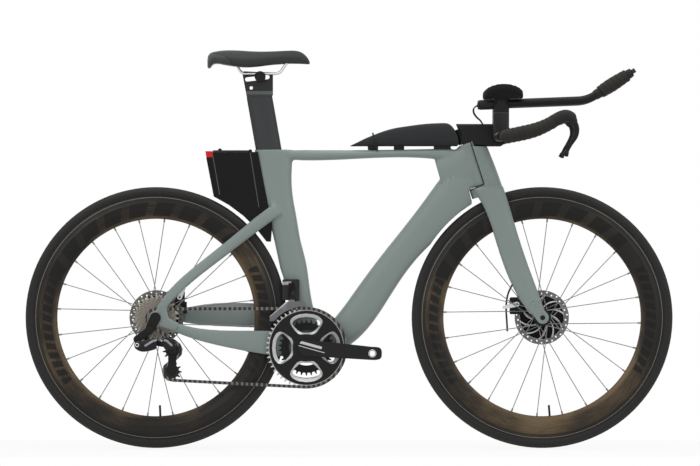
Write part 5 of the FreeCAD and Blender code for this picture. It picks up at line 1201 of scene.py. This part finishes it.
def endRing(share, half, top):
    # drawn towards the hollow that keeps clear of the turning stem
    start = bagSet["stations"][-1][0]
    axisX, axisZ, lean = bagSet["axis"]
    ring = []
    for _, y, z in bagRing(start, half, top, bagSet["stations"][-1][3]):
        reach = axisX - (z - axisZ) * lean - math.sqrt(max(0.0, bagSet["hollow"] ** 2 - y * y))
        ring.append((start + (reach - start) * share, y, z))
    return ring


bagRings = [bagRing(*station) for station in bagSet["stations"]]
bag = loft("topTubeBag", bagRings + [endRing(*station) for station in bagSet["end"]])
subdivided(bag, 2)
finished(bag, "frame", "bag_cloth")
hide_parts("top_tube_bag")
print("bag", len(bag.data.polygons), "faces")

# bag trim: rubber feet on the top tube and a strap round bag and tube
trimSet = {"feet": [(0.048, 0.075), (0.115, 0.142), (0.218, 0.262)], "footZ": (0.7675, 0.7785),
           "footHalf": 0.0095, "footRound": (0.002, 0.7), "footSquare": 0.4, "strapRadius": 0.0021,
           "strapSpacing": 0.0012, "strapSides": 14, "strap":
           [(0.0728, 0.0165, 0.7655), (0.0690, 0.0205, 0.7800), (0.0640, 0.0172, 0.8010),
            (0.0600, 0.0, 0.8135), (0.0640, -0.0172, 0.8010), (0.0690, -0.0205, 0.7800),
            (0.0728, -0.0165, 0.7655)]}


def footRing(x, grow):
    low, high = trimSet["footZ"]
    ring = []
    for angle in turns(20):
        across, up = [bent(wave(angle), trimSet["footSquare"]) for wave in (math.cos, math.sin)]
        ring.append((x, trimSet["footHalf"] * grow * across, (low + high) / 2 + (high - low) / 2 * grow * up))
    return ring


for number, (back, front) in enumerate(trimSet["feet"]):
    inset, small = trimSet["footRound"]
    foot = loft("bagFoot%d" % number, [footRing(back, small), footRing(back + inset, 1.0),
                                       footRing(front - inset, 1.0), footRing(front, small)])
    finished(foot, "frame", "rubber_black", angle=40)
strap = tube("bagStrap", trimSet["strap"], trimSet["strapSpacing"], trimSet["strapSides"],
             lambda along, total, turn: trimSet["strapRadius"])
finished(strap, "frame", "rubber_black")
print("bag trim made")

# studio: pale floor, white all round, soft lamps
studioSet = {"floorWidth": 3.4, "floorDepth": 1.6, "floorZ": -0.0006, "floorGlow": 0.86, "around": 0.5,
             "top": 42.0, "side": 15.0}
deselect()
bpy.ops.mesh.primitive_plane_add(size=1.0, location=(0, 0, studioSet["floorZ"]))
floor = bpy.context.object
floor.name = "studioFloor"
floor.scale = (studioSet["floorWidth"], studioSet["floorDepth"], 1.0)
bpy.ops.object.transform_apply(location=True, rotation=True, scale=True)
floorPaint = Finish("floorPaint", (0.86, 0.86, 0.86), 0.9)
tree = floorPaint.tree
seen = tree.nodes.new("ShaderNodeLightPath")
rays = Flow(floorPaint, seen.outputs["Is Camera Ray"]) + Flow(floorPaint, seen.outputs["Is Glossy Ray"])
glow = floorPaint.node("ShaderNodeEmission", {}, (1.0, 1.0, 1.0, 1.0), 1.0)
share = rays.maths("MINIMUM", rays, 1.0) * studioSet["floorGlow"]
painted = Flow(floorPaint, floorPaint.shader.outputs[0])
mixed = floorPaint.node("ShaderNodeMixShader", {}, share, painted, glow)
tree.links.new(mixed.socket, tree.nodes["Material Output"].inputs["Surface"])
floor.data.materials.append(floorPaint.material)

world = bpy.data.worlds.new("studioWorld")
scene.world = world
world.use_nodes = True
tree = world.node_tree
tree.nodes.clear()
seen = tree.nodes.new("ShaderNodeLightPath")
out = tree.nodes.new("ShaderNodeOutputWorld")
around = tree.nodes.new("ShaderNodeBackground")
around.inputs["Strength"].default_value = studioSet["around"]
white = tree.nodes.new("ShaderNodeBackground")
both = tree.nodes.new("ShaderNodeMixShader")
for backdrop in (around, white):
    backdrop.inputs["Color"].default_value = (1.0, 1.0, 1.0, 1.0)
plain = tree.nodes.new("ShaderNodeMath")
plain.operation = "ADD"
plain.use_clamp = True
bright = tree.nodes.new("ShaderNodeMath")
bright.operation = "ADD"
for start, end in ((seen.outputs["Is Glossy Ray"], bright.inputs[0]),
                   (seen.outputs["Is Transmission Ray"], bright.inputs[1]),
                   (seen.outputs["Is Camera Ray"], plain.inputs[0]), (bright.outputs[0], plain.inputs[1]),
                   (plain.outputs[0], both.inputs[0]), (around.outputs[0], both.inputs[1]),
                   (white.outputs[0], both.inputs[2]), (both.outputs[0], out.inputs["Surface"])):
    tree.links.new(start, end)


def lamp(name, place, aim, size, power):
    bpy.ops.object.light_add(type="AREA", location=place)
    made = bpy.context.object
    made.name = name
    made.data.shape = "RECTANGLE"
    made.data.size, made.data.size_y = size
    made.data.energy = power
    made.rotation_euler = (Vector(aim) - Vector(place)).to_track_quat("-Z", "Y").to_euler()


lamp("topLamp", (0.1, -0.5, 3.0), (0.0, 0.0, 0.5), (3.2, 2.0), studioSet["top"])
lamp("sideLamp", (-1.6, -3.4, 1.7), (0.0, 0.0, 0.5), (1.6, 1.6), studioSet["side"])
lamp("fillLamp", (1.9, -3.2, 1.2), (0.1, 0.0, 0.5), (1.6, 1.6), studioSet["side"] * 0.6)
lamp("backLamp", (0.0, 3.4, 1.6), (0.0, 0.0, 0.6), (2.4, 1.6), studioSet["side"] * 0.8)
scene.view_settings.view_transform = "Standard"
print("studio lit")
